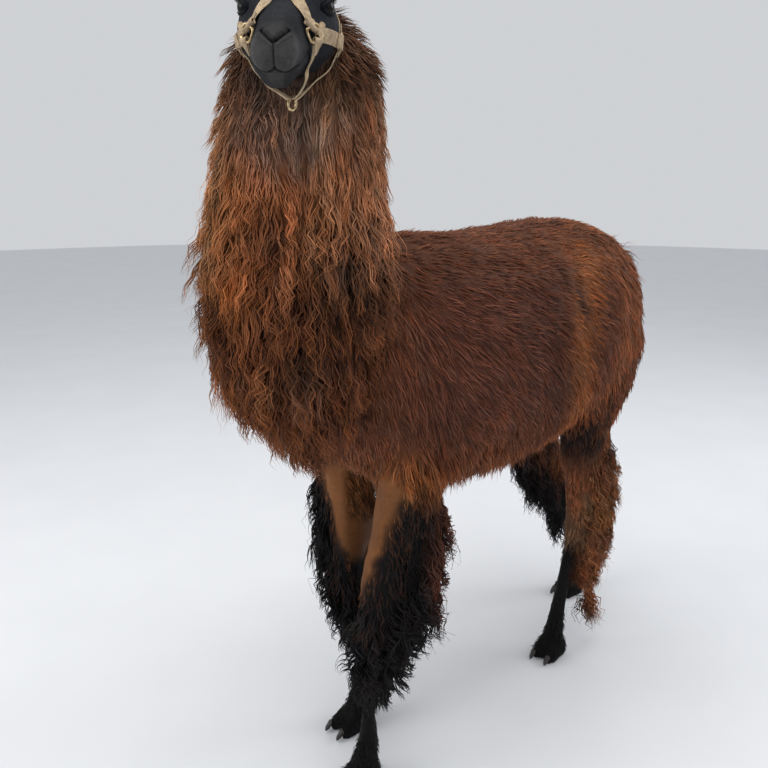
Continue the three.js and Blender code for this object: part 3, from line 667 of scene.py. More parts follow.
def lie_of(points, facing, share):
    """The direction in which the coat lies at each point, along the skin."""
    body = in_body(points)
    x, y, z = body.T
    part = parts(share)
    side = np.tanh(x / 0.03)

    def run(across, rearward, upward):
        return np.stack(np.broadcast_arrays(across, rearward, upward, x)[:3], 1)

    fall = np.interp(z, *FALL_LINE)
    steep = np.clip(ease(-0.16, -0.30, y) + ease(0.24, 0.38, y), 0, 1)
    fall = np.radians(fall * (1 - steep) + np.maximum(fall, 72) * steep)
    turn = np.radians(neck_turn(body))
    head_place = moved(points, ROW_TO_HEAD)
    cheek = ease(0.02, 0.05, np.abs(head_place[:, 0])) * ease(0.03, -0.02, head_place[:, 2])
    leg = run(0, 0.15, -1)
    wool = run(0, 0.2, -1)
    ways = {
        "trunk": run(0.3 * side * ease(1.05, 1.15, z), np.cos(fall), -np.sin(fall)),
        "neck": run(0.12 * np.sin(turn), -0.12 * np.cos(turn) * ease(0.9, 1.1, z), -1),
        "tail": run(0, 0.1, -1),
        "head": turned(run(0.25 * np.sign(head_place[:, 0]), 1, -0.35 * cheek), HEAD_TO_ROW),
        "ear": turned(run(0, 0.1, 1), HEAD_TO_ROW),
        "upper_fore": leg,
        "upper_hind": leg,
        "lower_leg": leg,
        "foot": leg,
        "wool_fore": wool,
        "wool_hind": wool,
    }
    total = sum(ways[region] * part[region][:, None] for region in REGIONS)
    swirl = cloud(body, 0.06, 3) * 0.28 + cloud(body, 0.022, 4) * 0.14
    wild = part["neck"] * ease(1.26, 1.12, z)
    swirl += wild * (cloud(body, 0.035, 5) * 0.34 + cloud(body, 0.09, 6) * 0.22)
    calm = part["head"] + part["ear"]
    total = total + np.cross(facing, total) * (swirl * (1 - 0.8 * calm))[:, None]
    along = total - facing * dot(facing, total)
    spare = run(0, 1, 0)
    spare = spare - facing * dot(facing, spare)
    weak = np.linalg.norm(along, axis=1) < 0.15
    along[weak] = spare[weak] + along[weak]
    return unit(along)


# ---------------------------------------------------------------- materials


class Finish:
    """A material being made, with the nodes that feed its shader."""

    def __init__(self, name, roughness, specular):
        self.material = bpy.data.materials.new(name)
        self.material.use_nodes = True
        self.tree = self.material.node_tree
        self.shader = self.tree.nodes["Principled BSDF"]
        self.shader.inputs["Roughness"].default_value = roughness
        self.shader.inputs["Specular IOR Level"].default_value = specular

    def node(self, kind, sockets=None, **values):
        """A new node, given its own settings and then the values of its sockets."""
        node = self.tree.nodes.new("ShaderNode" + kind)
        for name, value in values.items():
            setattr(node, name, value)
        for name, value in (sockets or {}).items():
            node.inputs[name].default_value = value
        return node

    def link(self, output, socket):
        self.tree.links.new(output, socket)

    def feed(self, name, output):
        self.link(output, self.shader.inputs[name])

    def place(self):
        return self.node("TexCoord").outputs["Object"]

    def map(self, name):
        return self.node("UVMap", uv_map=name).outputs["UV"]

    # The painted colour: markings with painted light and shade.
    def markings(self):
        return self.node("Attribute", attribute_name="markings").outputs["Color"]

    def pattern(self, source, scale, stretch=(1, 1, 1), detail=2.0, turn=(0, 0, 0)):
        """Noise on a coordinate, drawn out along an axis by `stretch`; returns its value from 0 to 1."""
        mapping = self.node("Mapping", {"Scale": stretch, "Rotation": turn})
        noise = self.node("TexNoise", {"Scale": scale, "Detail": detail})
        self.link(source, mapping.inputs["Vector"])
        self.link(mapping.outputs["Vector"], noise.inputs["Vector"])
        return noise.outputs["Fac"]

    def ranged(self, value, low, high, start=0.3, end=0.7):
        """A value from `start` to `end`, most of what noise gives, taken to `low` to `high`."""
        node = self.node("MapRange", {"To Min": low, "To Max": high, "From Min": start, "From Max": end})
        self.link(value, node.inputs["Value"])
        return node.outputs["Result"]

    def shaded(self, colour, strength):
        """A colour times a value."""
        node = self.node("VectorMath", operation="SCALE")
        self.link(colour, node.inputs[0])
        self.link(strength, node.inputs["Scale"])
        return node.outputs["Vector"]

    def ramp(self, value, *stops):
        """A colour from a value, through two stops: each a place and its colour."""
        node = self.node("ValToRGB")
        for stop, (place, colour) in zip(node.color_ramp.elements, stops):
            stop.position = place
            stop.color = (*colour, 1)
        self.link(value, node.inputs["Fac"])
        return node.outputs["Color"]

    def maths(self, operation, first, second=0.0):
        node = self.node("Math", operation=operation)
        for socket, value in zip(node.inputs, (first, second)):
            if isinstance(value, float):
                socket.default_value = value
            else:
                self.link(value, socket)
        return node.outputs["Value"]

    def length(self, x, y):
        squares = self.maths("ADD", self.maths("MULTIPLY", x, x), self.maths("MULTIPLY", y, y))
        return self.maths("SQRT", squares)

    def bump(self, height, distance, strength):
        node = self.node("Bump", {"Strength": strength, "Distance": distance})
        self.link(height, node.inputs["Height"])
        self.feed("Normal", node.outputs["Normal"])


def skin_material():
    """Short dense hair: fine streaks of bump and shade over the painted colour, markings with painted light
    and shade.
    """
    finish = Finish("short_hair", roughness=0.66, specular=0.1)
    place = finish.place()
    lie = tuple(HEAD_TO_ROW.inverted().to_euler())
    hair = finish.pattern(place, 1, (900, 160, 900), 2.0, lie)
    mottle = finish.pattern(place, 90, detail=3.0)
    tint = finish.shaded(finish.markings(), finish.ranged(hair, 0.72, 1.25))
    finish.feed("Base Color", finish.shaded(tint, finish.ranged(mottle, 0.88, 1.12)))
    finish.feed("Roughness", finish.ranged(mottle, 0.52, 0.72))
    finish.bump(hair, 0.8 * MM, 0.55)
    return finish.material


def lock_material(name, roughness, specular):
    """Hair of a lock: the painted colour, streaked from root to tip."""
    finish = Finish(name, roughness, specular)
    streak = finish.pattern(finish.map("strand"), 1, (9, 0.8, 1), 2.0)
    finish.feed("Base Color", finish.shaded(finish.markings(), finish.ranged(streak, 0.62, 1.38)))
    finish.bump(streak, 0.5 * MM, 0.6)
    return finish.material


def eye_material():
    """Wet brown eye: fine spokes in the iris, a wide level pupil, a dark rim."""
    finish = Finish("eye_glass", roughness=0.12, specular=0.06)
    place = finish.map("iris")
    apart = finish.node("SeparateXYZ")
    finish.link(place, apart.inputs["Vector"])
    x, y = apart.outputs["X"], apart.outputs["Y"]
    spokes = finish.pattern(place, 5, (1, 9, 1), 4.0)
    pupil = finish.length(finish.maths("MULTIPLY", x, 2.4), finish.maths("MULTIPLY", y, 6.2))
    iris = finish.ramp(finish.length(x, y), (0.1, (0.015, 0.008, 0.005)), (0.78, (0.004, 0.003, 0.003)))
    iris = finish.shaded(iris, finish.ranged(spokes, 0.45, 1.6))
    finish.feed("Base Color", finish.shaded(iris, finish.ranged(pupil, 0.0, 1.0, 0.9, 1.12)))
    finish.shader.inputs["Coat Weight"].default_value = 0.22
    finish.shader.inputs["Coat Roughness"].default_value = 0.02
    return finish.material


def horn_material():
    """Grey-brown horn with growth lines and a worn, scratched face."""
    finish = Finish("horn", roughness=0.42, specular=0.4)
    place = finish.place()
    lines = finish.pattern(place, 1, (120, 620, 620), 3.0)
    worn = finish.pattern(place, 260, detail=4.0)
    colour = finish.ramp(lines, (0.3, (0.012, 0.011, 0.010)), (0.75, (0.05, 0.042, 0.036)))
    finish.feed("Base Color", finish.shaded(colour, finish.ranged(worn, 0.7, 1.3)))
    finish.feed("Roughness", finish.ranged(worn, 0.32, 0.6))
    finish.bump(lines, 0.35 * MM, 0.6)
    return finish.material


def webbing_material():
    """Flat beige webbing: a close twill, fuzzy edges, dirt in the weave and worn spots."""
    finish = Finish("webbing", roughness=0.85, specular=0.15)
    place = finish.map("weave")
    threads = {
        "Scale": 1.0,
        "Brick Width": 1.5 * MM,
        "Row Height": 0.8 * MM,
        "Mortar Size": 0.16 * MM,
        "Mortar Smooth": 1.0,
        "Color1": (0.60, 0.46, 0.30, 1),
        "Color2": (0.50, 0.375, 0.24, 1),
        "Mortar": (0.24, 0.165, 0.10, 1),
    }
    weave = finish.node("TexBrick", threads, offset=0.5)
    finish.link(place, weave.inputs["Vector"])
    dirt = finish.pattern(place, 70, detail=5.0)
    fuzz = finish.pattern(place, 1500, detail=2.0)
    tint = finish.shaded(weave.outputs["Color"], finish.ranged(dirt, 0.62, 1.22))
    finish.feed("Base Color", finish.shaded(tint, finish.ranged(fuzz, 0.85, 1.15)))
    finish.bump(finish.ranged(weave.outputs["Fac"], 1.0, 0.0), 0.25 * MM, 0.8)
    return finish.material


def thread_material():
    """Waxed sewing thread, twisted."""
    finish = Finish("thread", roughness=0.7, specular=0.2)
    twist = finish.pattern(finish.place(), 2400, detail=2.0)
    base = finish.node("RGB").outputs["Color"]
    base.default_value = (0.62, 0.50, 0.34, 1)
    finish.feed("Base Color", finish.shaded(base, finish.ranged(twist, 0.6, 1.2)))
    finish.bump(twist, 0.15 * MM, 0.6)
    return finish.material


def brass_material():
    """Dull pale brass, tarnished in blotches, with fine scratches."""
    finish = Finish("worn_brass", roughness=0.35, specular=0.5)
    place = finish.place()
    blotch = finish.pattern(place, 160, detail=5.0)
    scratch = finish.pattern(place, 1, (300, 2600, 300), 3.0)
    finish.feed("Base Color", finish.ramp(blotch, (0.35, (0.27, 0.18, 0.085)), (0.62, (0.66, 0.52, 0.31))))
    finish.shader.inputs["Metallic"].default_value = 0.9
    finish.feed("Roughness", finish.ranged(blotch, 0.5, 0.24))
    finish.bump(scratch, 0.06 * MM, 0.5)
    return finish.material


def floor_material():
    """A pale studio floor, slightly uneven in tone."""
    finish = Finish("pale_floor", roughness=0.8, specular=0.2)
    tone = finish.node("Mix", {"A": (0.70, 0.71, 0.73, 1), "B": (0.76, 0.77, 0.79, 1)}, data_type="RGBA")
    finish.link(finish.pattern(finish.place(), 3, detail=4.0), tone.inputs["Factor"])
    finish.feed("Base Color", tone.outputs["Result"])
    return finish.material


# ---------------------------------------------------------------- the head's features

EYE_AXIS = Vector((0.93, -0.33, 0.10)).normalized()
# Half a lid opening, along it and up, and how far from its middle the lids reach, in millimetres.
LID_OPENING, LID_REACH = (14.6, 8.8), 34
# Seen from the front, across and up: a nostril, from its inner to its outer end, and the mouth, from the
# middle out.
NOSTRIL = ((1.2, 5.5), (6, 8.5), (11.5, 11.5), (17, 14), (22.5, 15.5))
MOUTH_FRONT = ((0, -25), (3.5, -28), (11, -31), (18, -30.5), (24, -28), (29, -25.5))
# Seen from the side, along and up: the mouth back to its corner.
MOUTH_SIDE = ((-290, -26), (-262, -24.5), (-232, -23.5), (-208, -21))
# Height and half width of the front of the upper lip, where it turns to the muzzle's side.
LIP_PLATE = ((-35, -29, -22, -12, 0, 14, 24, 41), (4, 18, 25, 29.5, 29.5, 25, 19, 13))


def to_curve(points, knots):
    """For each point its distance to a chain of knots, and how far along the chain the nearest place is."""
    knots = np.array(knots, float)
    best = np.full(len(points), 1e9)
    where = np.zeros(len(points))
    for i in range(len(knots) - 1):
        step = knots[i + 1] - knots[i]
        t = np.clip((points - knots[i]) @ step / (step @ step), 0, 1)
        far = np.linalg.norm(points - knots[i] - t[:, None] * step, axis=1)
        closer = far < best
        best[closer] = far[closer]
        where[closer] = ((i + t) / (len(knots) - 1))[closer]
    return best, where


def swell(points, middle, reach, push):
    """Moves points near `middle` by `push`, and the same on the head's other side."""
    result = points.copy()
    for side in (1, -1):
        centre = np.array(middle, float) * (side, 1, 1)
        near = np.exp(-np.sum(((points - centre) / reach) ** 2, axis=1))
        result += near[:, None] * np.array(push, float) * (side, 1, 1) * (0.5 if middle[0] == 0 else 1)
    return result


HEAD_FORMS = (
    # where, how far it reaches, how far it moves: millimetres in the head's own frame, for its left side
    ((50, -112, 42), (15, 24, 9), (4.5, 0, 3)),  # brow
    ((46, -76, 42), (14, 16, 14), (-4, 0, -2)),  # temple
    ((62, -112, -8), (12, 34, 8), (3.5, 0, 0)),  # cheek bone
    ((46, -152, 16), (12, 20, 10), (-4.5, 0, -1)),  # before the eye
    ((64, -62, -38), (18, 32, 26), (4, 0, 0)),  # cheek
    ((40, -212, 4), (12, 26, 13), (-4, 0, 0)),  # side of the nose
    ((44, -170, -30), (12, 24, 12), (-3, 0, 0)),  # behind the mouth's corner
    ((0, -240, 26), (12, 50, 10), (0, 0, 1.5)),  # bridge of the nose
    ((23, -286, -12), (10, 14, 13), (1.5, -1.5, 0)),  # side of the upper lip
    ((11.5, -300, -17), (9, 10, 11), (0.5, -5.5, -3.5)),  # lobe of the upper lip
    ((12, -291, 20), (9, 10, 6), (0.5, -2.5, 2.5)),  # rim over the nostril
    ((0, -296, 13), (8, 10, 9), (0, -3.0, 1)),  # tip of the nose
    ((0, -288, -47), (22, 14, 9), (0, -3.5, -3)),  # chin
    ((22, -262, -44), (11, 26, 12), (-2.5, 0, 2)),  # side of the lower lip
    ((30, -258, 14), (9, 24, 11), (-4, 0, -1)),  # behind the nostril
    ((0, -240, -58), (14, 30, 10), (0, 0, 5)),  # between the jaw bones
)


def face_lines(points):
    """How near each head point is to the nostrils, the lip's cleft and the mouth, in millimetres."""
    half = np.abs(points[:, 0])
    face = np.stack([half, points[:, 2]], 1)
    ahead = points[:, 1]
    off = 60 * ease(-274, -262, ahead)
    nostril, along = to_curve(face, NOSTRIL)
    cleft = half + 60 * (1 - ease(-28, -25, points[:, 2]) * ease(6, 3, points[:, 2]))
    front, _ = to_curve(face, MOUTH_FRONT)
    side, back = to_curve(points[:, 1:], MOUTH_SIDE)
    side = side + 60 * ease(26, 16, half)
    mouth = np.minimum(front + 60 * ease(-280, -268, ahead), side)
    return nostril + off, along, cleft + off, mouth, back * ease(-285, -270, ahead)


def crease_shade(points):
    """How deep in a crease each head point is, from 0 to 1: the weight of the painted shade in the creases.
    """
    nostril, _, cleft, mouth, back = face_lines(points)
    total = 0.9 * bell(nostril, 0, 1.1) + 0.4 * bell(cleft, 0, 1.1)
    return total + 0.6 * bell(mouth, 0, 1.4) * (1 - 0.5 * back)


def sculpted(points, faces_out):
    """Head points, in millimetres in the head's frame, given nostrils, lips, brow and cheeks."""
    for middle, reach, push in HEAD_FORMS:
        points = swell(points, middle, reach, push)
    # The front of the upper lip stands a little proud of the muzzle's sides.
    width = np.interp(points[:, 2], *LIP_PLATE)
    ahead = ease(-0.05, -0.45, faces_out[:, 1]) * ease(-240, -262, points[:, 1])
    plate = ease(1.5, -4.5, np.abs(points[:, 0]) - width)
    plate = plate * ease(-36, -31, points[:, 2]) * ease(44, 26, points[:, 2])
    points = points + faces_out * (2.2 * plate * ahead)[:, None]
    nostril, along, cleft, mouth, back = face_lines(points)
    slit = 0.75 + 0.5 * (1 - along)
    deep = (4.8 - 2.6 * along) * bell(nostril, 0, slit) + 1.3 * bell(nostril, 0, 4)
    deep -= 0.9 * bell(nostril, 4.6, 2.0)
    deep += 2.4 * bell(cleft, 0, 1.1) - 0.7 * bell(cleft, 4.2, 2.2)
    lips = 2.9 * bell(mouth, 0, 1.3) + bell(mouth, 0, 4) - 0.6 * bell(mouth, 5.2, 2.4)
    return points - faces_out * (deep + lips * (1 - 0.6 * back))[:, None]


def eye_frame(side):
    """An eye's middle, in millimetres in the head's frame, and the ways out, forward and up from it."""
    middle = np.array((EYE_MIDDLE + Vector((side * EYE_SIDE, 0, 0))) / MM)
    out = np.array(EYE_AXIS) * (side, 1, 1)
    forward = np.array((0, -1, 0)) - out * np.dot((0, -1, 0), out)
    forward /= np.linalg.norm(forward)
    up = np.cross(forward, out)
    return middle, out, forward, up * np.sign(up[2])


def open_eyes(points):
    """Draws the skin off the eyeballs inside each lid opening, and over them as lids round it."""
    radius = EYE_RADIUS / MM
    for side in (1, -1):
        middle, out, forward, up = eye_frame(side)
        offset = points - middle
        a, b, h = offset @ forward, offset @ up, offset @ out
        near = (h > 2) & (np.hypot(a, b) < LID_REACH)
        corner = 1 + 0.22 * np.abs(a / LID_OPENING[0]) ** 2
        ring = np.hypot(a / LID_OPENING[0], (b - 0.02 * a) / (LID_OPENING[1] / corner))
        ball = np.sqrt(np.maximum(radius**2 - a**2 - b**2, 0))
        upper = ease(-0.2, 0.5, b / LID_OPENING[1])
        lid = ball + 1.5 + (1.2 + 1.5 * upper) * bell(ring, 1.2, 0.17)
        lid += (0.6 + 0.8 * upper) * bell(ring, 1.58, 0.14) - 1.3 * bell(ring, 1.4, 0.07)
        held = ease(2.4, 1.5, ring)
        close = ease(1.75, 1.25, ring)
        lid = lid * close + np.maximum(h, lid) * (1 - close)
        wanted = lid * held + h * (1 - held)
        height = np.where(ring < 1, ball - 5 * ease(1.0, 0.9, ring) - 1.0, wanted)
        points[near] += out * (height - h)[near][:, None]
    return points


def refine(piece, chosen):
    """Cuts the chosen faces into four."""
    select_only(piece)
    bpy.context.tool_settings.mesh_select_mode = (False, False, True)
    bpy.ops.object.mode_set(mode="EDIT")
    bpy.ops.mesh.select_all(action="DESELECT")
    bpy.ops.object.mode_set(mode="OBJECT")
    piece.data.polygons.foreach_set("select", chosen)
    bpy.ops.object.mode_set(mode="EDIT")
    bpy.ops.mesh.subdivide(number_cuts=1)
    bpy.ops.object.mode_set(mode="OBJECT")


def finer_places(points):
    """True where the head needs a finer skin: muzzle, mouth and lids. Millimetres in the head's frame."""
    half = np.abs(points) * (1, 0, 0) + points * (0, 1, 1)
    mouth = face_lines(points)[3] < 7
    eye = np.linalg.norm(half - (58, -116, 20), axis=1) < 25
    return (points[:, 1] < -262) | mouth | eye


def finest_places(points):
    """True along the nostrils, the cleft and the front of the mouth."""
    nostril, _, cleft, mouth, _ = face_lines(points)
    return (nostril < 5) | (cleft < 4) | ((mouth < 4) & (points[:, 1] < -270))


# The ears are evened out in rounds of a step in and one out, so that they don't shrink.
EAR_ROUNDS, EAR_STEPS = 45, (0.6, -0.62)


def make_head():
    """The head, jaws and ears as one closed skin, with its folds."""
    settings = bpy.context.scene.llama_skin
    nodes = [node for node, region in REGION_OF.items() if region in ("head", "ear")]
    head = copy_of_nodes("head skin", nodes + ["eye_left", "eye_right"], 0.5 * MM)
    apply_modifier(head, "REMESH", mode="VOXEL", voxel_size=settings.head_grain)
    keep_largest_island(head)
    spread = Spread(head.data)
    points = spread.times(places(head.data), 4)
    ears = ease(78, 100, moved(points, ROW_TO_HEAD)[:, 2] / MM)
    for _ in range(EAR_ROUNDS):
        for amount in EAR_STEPS:
            points = points + (spread.once(points) - points) * (amount * ears)[:, None]
    set_places(head.data, points)
    for chosen in (finer_places, finest_places):
        middles = read(head.data.polygons, "center", 3).astype(float)
        refine(head, chosen(moved(middles, ROW_TO_HEAD) / MM))
    spread = Spread(head.data)
    points = spread.times(places(head.data), 2)
    set_places(head.data, points)
    out = turned(normals(head.data), ROW_TO_HEAD)
    local = sculpted(moved(points, ROW_TO_HEAD) / MM, out)
    set_places(head.data, moved(local * MM, HEAD_TO_ROW))
    points = spread.times(places(head.data), 1)
    local = open_eyes(moved(points, ROW_TO_HEAD) / MM)
    set_places(head.data, moved(local * MM, HEAD_TO_ROW))
    return head


# ---------------------------------------------------------------- skin

# How far the solids are grown before they are made one, and how deep the skull's end sinks under the
# head's own skin.
SKIN_GROWTH = 1.2 * MM
HEAD_DEPTH = 14 * MM
# Under the wool of the legs the skin goes no deeper than this into the flesh.
FLESH_DEPTH = 6 * MM
SOLE_TOP, SOLE_LEVEL = 7 * MM, 0.3 * MM


def draw_in(body, outline, steps):
    """Takes the body's surface in under the coat, in steps that keep it smooth."""
    mesh = body.data
    points = places(mesh)
    share = shares(mesh, outline, 10)
    part = parts(share)
    spread = Spread(mesh)
    depth = traits_of(points, share)["depth"]
    depth = depth * (1 - part["head"]) + HEAD_DEPTH * part["head"]
    depth = spread.times(depth, 12) + SKIN_GROWTH
    over = outline.from_flesh(points, 60 * MM)
    fleece = np.clip((part["wool_fore"] + part["wool_hind"]) * 2, 0, 1)
    depth += (np.minimum(depth, over + FLESH_DEPTH) - depth) * fleece
    depth = spread.times(depth, 3)
    even = np.clip(depth / (16 * MM), 0.08, 1)[:, None]
    for _ in range(steps):
        points = places(mesh) - normals(mesh) * (depth / steps)[:, None]
        set_places(mesh, points + (spread.once(points) - points) * even)
    points = places(mesh)
    sole = (points[:, 2] < SOLE_TOP) & (normals(mesh)[:, 2] < -0.4)
    points[sole, 2] = SOLE_LEVEL
    set_places(mesh, points)


class LLAMA_OT_skin(bpy.types.Operator):
    """One skin over the whole body, drawn in under the coat"""

    bl_idname = "llama.skin"
    bl_label = "Skin"

    def execute(self, context):
        settings = context.scene.llama_skin
        nodes = [node for node, region in REGION_OF.items() if region != "ear"]
        body = copy_of_nodes("skin", nodes, SKIN_GROWTH)
        apply_modifier(body, "REMESH", mode="VOXEL", voxel_size=settings.body_grain)
        keep_largest_island(body)
        outline = Outline()
        draw_in(body, outline, settings.steps)
        head = make_head()
        apply_modifier(body, "BOOLEAN", operation="UNION", solver="MANIFOLD", object=head)
        bpy.data.objects.remove(head)
        keep_largest_island(body)
        mesh = body.data
        share = shares(mesh, outline, 6)
        points = places(mesh)
        # The skin under a long coat is painted darker, as the coat's shade on it.
        long_coat = ease(8 * MM, 26 * MM, traits_of(points, share)["length"])
        paint(mesh, "markings", markings(points, share) * (1 - 0.6 * long_coat)[:, None])
        mesh.materials.clear()
        mesh.materials.append(skin_material())
        make_smooth(mesh)
        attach(body, "root")
        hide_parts(*FLESH)
        return {"FINISHED"}


# ---------------------------------------------------------------- studio

CAMERA_PLACE = Vector((1.10, -1.25, 1.25)) - ROW_TO_BODY
CAMERA_HEADING = Vector((-0.727, 0.687, 0)).normalized()
CAMERA_DOWN = math.radians(15)
SENSOR_WIDTH = 36
# The lens, in widths of the sensor.
FOCAL_RATIO = 770 / 768
FLOOR_RADIUS = 14
# Name, place, what it points at, size, power and colour.
LIGHTS = (
    ("overhead", (0.3, -0.6, 4.2), (0, 0, 0.9), 3.4, 85, (1.0, 0.99, 0.97)),
    ("left of camera", (-1.6, -3.4, 2.6), (0, -0.2, 1.0), 2.4, 50, (0.99, 0.98, 0.97)),
    ("behind", (1.8, 3.2, 2.8), (0, 0.2, 1.0), 2.0, 40, (0.97, 0.98, 1.0)),
)


def add_light(name, place, towards, size, power, colour):
    light = bpy.data.lights.new(name, "AREA")
    light.shape = "DISK"
    light.size = size
    light.energy = power
    light.color = colour
    lamp = bpy.data.objects.new(name, light)
    bpy.context.scene.collection.objects.link(lamp)
    lamp.location = place
    lamp.rotation_euler = (Vector(towards) - Vector(place)).to_track_quat("-Z", "Y").to_euler()


class LLAMA_OT_studio(bpy.types.Operator):
    """Floor, soft lights and camera"""

    bl_idname = "llama.studio"
    bl_label = "Studio"

    def execute(self, context):
        data = bpy.data.cameras.new("camera")
        data.sensor_width = SENSOR_WIDTH
        data.lens = FOCAL_RATIO * SENSOR_WIDTH
        camera = bpy.data.objects.new("camera", data)
        context.scene.collection.objects.link(camera)
        ahead = CAMERA_HEADING * math.cos(CAMERA_DOWN) - Vector((0, 0, math.sin(CAMERA_DOWN)))
        camera.location = CAMERA_PLACE
        camera.rotation_euler = ahead.to_track_quat("-Z", "Y").to_euler()
        context.scene.camera = camera

        bpy.ops.object.select_all(action="DESELECT")
        bpy.ops.mesh.primitive_circle_add(vertices=96, radius=FLOOR_RADIUS, fill_type="NGON")
        floor = context.object
        floor.name = "floor"
        floor.data.materials.append(floor_material())

        world = bpy.data.worlds.new("studio")
        context.scene.world = world
        world.use_nodes = True
        sky = world.node_tree.nodes["Background"]
        sky.inputs["Color"].default_value = (0.86, 0.88, 0.91, 1)
        sky.inputs["Strength"].default_value = 0.72
        for light in LIGHTS:
            add_light(*light)
        context.scene.view_settings.view_transform = "Standard"
        return {"FINISHED"}


# ---------------------------------------------------------------- eyes and nails

EYE_RINGS, EYE_SIDES = 26, 40
# The cornea stands out by this share of the radius, over this angle from the eye's axis, in radians.
CORNEA, CORNEA_ANGLE = 0.04, 0.55
MAP_EDGE = 2.5


def mesh_piece(name, points, faces, marks, layer):
    """A piece from points and faces, with one place on the map `layer` for each face corner."""
    mesh = bpy.data.meshes.new(name)
    mesh.from_pydata([tuple(p) for p in points], [], [tuple(f) for f in faces])
    uv = mesh.uv_layers.new(name=layer)
    uv.data.foreach_set("uv", np.array(marks, np.float32).ravel())
    make_smooth(mesh)
    mesh.update()
    piece = bpy.data.objects.new(name, mesh)
    bpy.context.scene.collection.objects.link(piece)
    return piece


def eyeball(side):
    """An eyeball with its cornea: points, faces, and each face corner's place round the pupil."""
    middle, out, forward, up = (Vector(values) for values in eye_frame(side))
    middle *= MM
    points = [middle + out * EYE_RADIUS * (1 + CORNEA)]
    spots = [(0.0, 0.0)]
    for ring in range(1, EYE_RINGS):
        angle = math.pi * ring / EYE_RINGS
        radius = EYE_RADIUS * (1 + CORNEA * math.exp(-((angle / CORNEA_ANGLE) ** 4)))
        across = math.sin(angle) * radius
        reach = min(angle, MAP_EDGE)
        for k in range(EYE_SIDES):
            turn = 2 * math.pi * k / EYE_SIDES
            a, b = math.cos(turn), math.sin(turn)
            points.append(middle + out * math.cos(angle) * radius + forward * across * a + up * across * b)
            spots.append((reach * a, reach * b))
    points.append(middle - out * EYE_RADIUS)
    spots.append((MAP_EDGE, 0.0))
    faces = []
    last = len(points) - 1
    for k in range(EYE_SIDES):
        n = (k + 1) % EYE_SIDES
        faces.append((0, 1 + k, 1 + n))
        faces.append((last, last - EYE_SIDES + n, last - EYE_SIDES + k))
    faces += tube_faces(1, EYE_RINGS - 1, EYE_SIDES)
    if forward.cross(up).dot(out) < 0:
        faces = [face[::-1] for face in faces]
    return points, faces, [spots[corner] for face in faces for corner in face]


class LLAMA_OT_eyes(bpy.types.Operator):
    """Both eyeballs, each with its cornea"""

    bl_idname = "llama.eyes"
    bl_label = "Eyes"

    def execute(self, context):
        material = eye_material()
        for side, node in ((1, "eye_left"), (-1, "eye_right")):
            points, faces, marks = eyeball(side)
            placed = [HEAD_TO_ROW @ p for p in points]
            piece = mesh_piece("eyeball_" + node[4:], placed, faces, marks, "iris")
            piece.data.materials.append(material)
            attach(piece, "root")
            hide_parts(node)
        return {"FINISHED"}


# The growth ridges across a nail.
RIDGE_PITCH, RIDGE_HEIGHT = 2.5 * MM, 0.12 * MM


class LLAMA_OT_nails(bpy.types.Operator):
    """The two nails of each foot"""

    bl_idname = "llama.nails"
    bl_label = "Nails"

    def execute(self, context):
        material = horn_material()
        for leg in LEGS:
            for side in ("left", "right"):
                node = leg + "_nail_" + side
                piece = copy_of_nodes("nail_" + leg + "_" + side, [node], 0.25 * MM)
                apply_modifier(piece, "REMESH", mode="VOXEL", voxel_size=1.1 * MM)
                keep_largest_island(piece)
                mesh = piece.data
                points = Spread(mesh).times(places(mesh), 5)
                along = points[:, 1] / RIDGE_PITCH
                points += normals(mesh) * (RIDGE_HEIGHT * np.sin(2 * np.pi * along))[:, None]
                points[:, 2] = np.maximum(points[:, 2], 0.5 * MM)
                set_places(mesh, points)
                make_smooth(mesh)
                mesh.materials.clear()
                mesh.materials.append(material)
                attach(piece, "root")
                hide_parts(node)
        return {"FINISHED"}


# ---------------------------------------------------------------- halter

# A ring: how far ahead of the back of the skull, its angle from the head's side over the top, half its
# size, and the degrees that its front edge is turned in.
SIDE_RING = dict(ahead=205, degrees=14, long=12, high=10, turn=30)
REAR_RING = dict(ahead=82, degrees=-14, long=11, high=9.5, turn=0)
CHIN_RING = dict(place=(7, -176, -99.5), reach=8.5, across=(0.6, 0.8, 0))
RING_LIFT = 4.6
# Straps are laid on what lies this near to the middle of the head, on each axis.
HEAD_MIDDLE, HEAD_REACH = np.array((0, -135, 0)), np.array((110, 195, 130))
# How far ahead a place is, and the height of the head's axis there.
HEAD_AXIS = ((0, 62, 100, 300), (0, -8, -10, -14))
# Straps keep this far off the skin where they hang free.
CLEARANCE = 1.6
FOLD_STEPS = 8
# How far along a folded strap its second layer runs, where along it the seam is, and its share of the width.
LAYER_PLACES = (2.5, 5, 8, 11, 14, 18)
SEAM_PLACE, SEAM_WIDTH = 12, 0.86
# From the middle of one layer to the other's, in thicknesses.
LAYER_GAP = 1.03
# Along the seam from stitch to stitch, and from one row to the next; half a stitch's length, and its radius.
STITCH_PITCH, STITCH_ROW = 2.9, 3.4
STITCH_REACH, STITCH_RADIUS = 1.05, 0.42
STITCH_SIDES = 6
# A stitch's rings of points: the way along it and the size, as shares of those.
STITCH_RINGS = ((-1.0, 0.25), (-0.6, 0.85), (0.6, 0.85), (1.0, 0.25))


class HalterSettings(bpy.types.PropertyGroup):
    strap_width: length_setting("Strap width", "Wide straps", 20 * MM)
    thin_width: length_setting("Thin strap width", "Straps under the jaw", 12 * MM)
    thickness: length_setting("Webbing thickness", "Of one layer", 2.1 * MM)
    wire: length_setting("Ring wire radius", "Of every ring", 2.1 * MM)


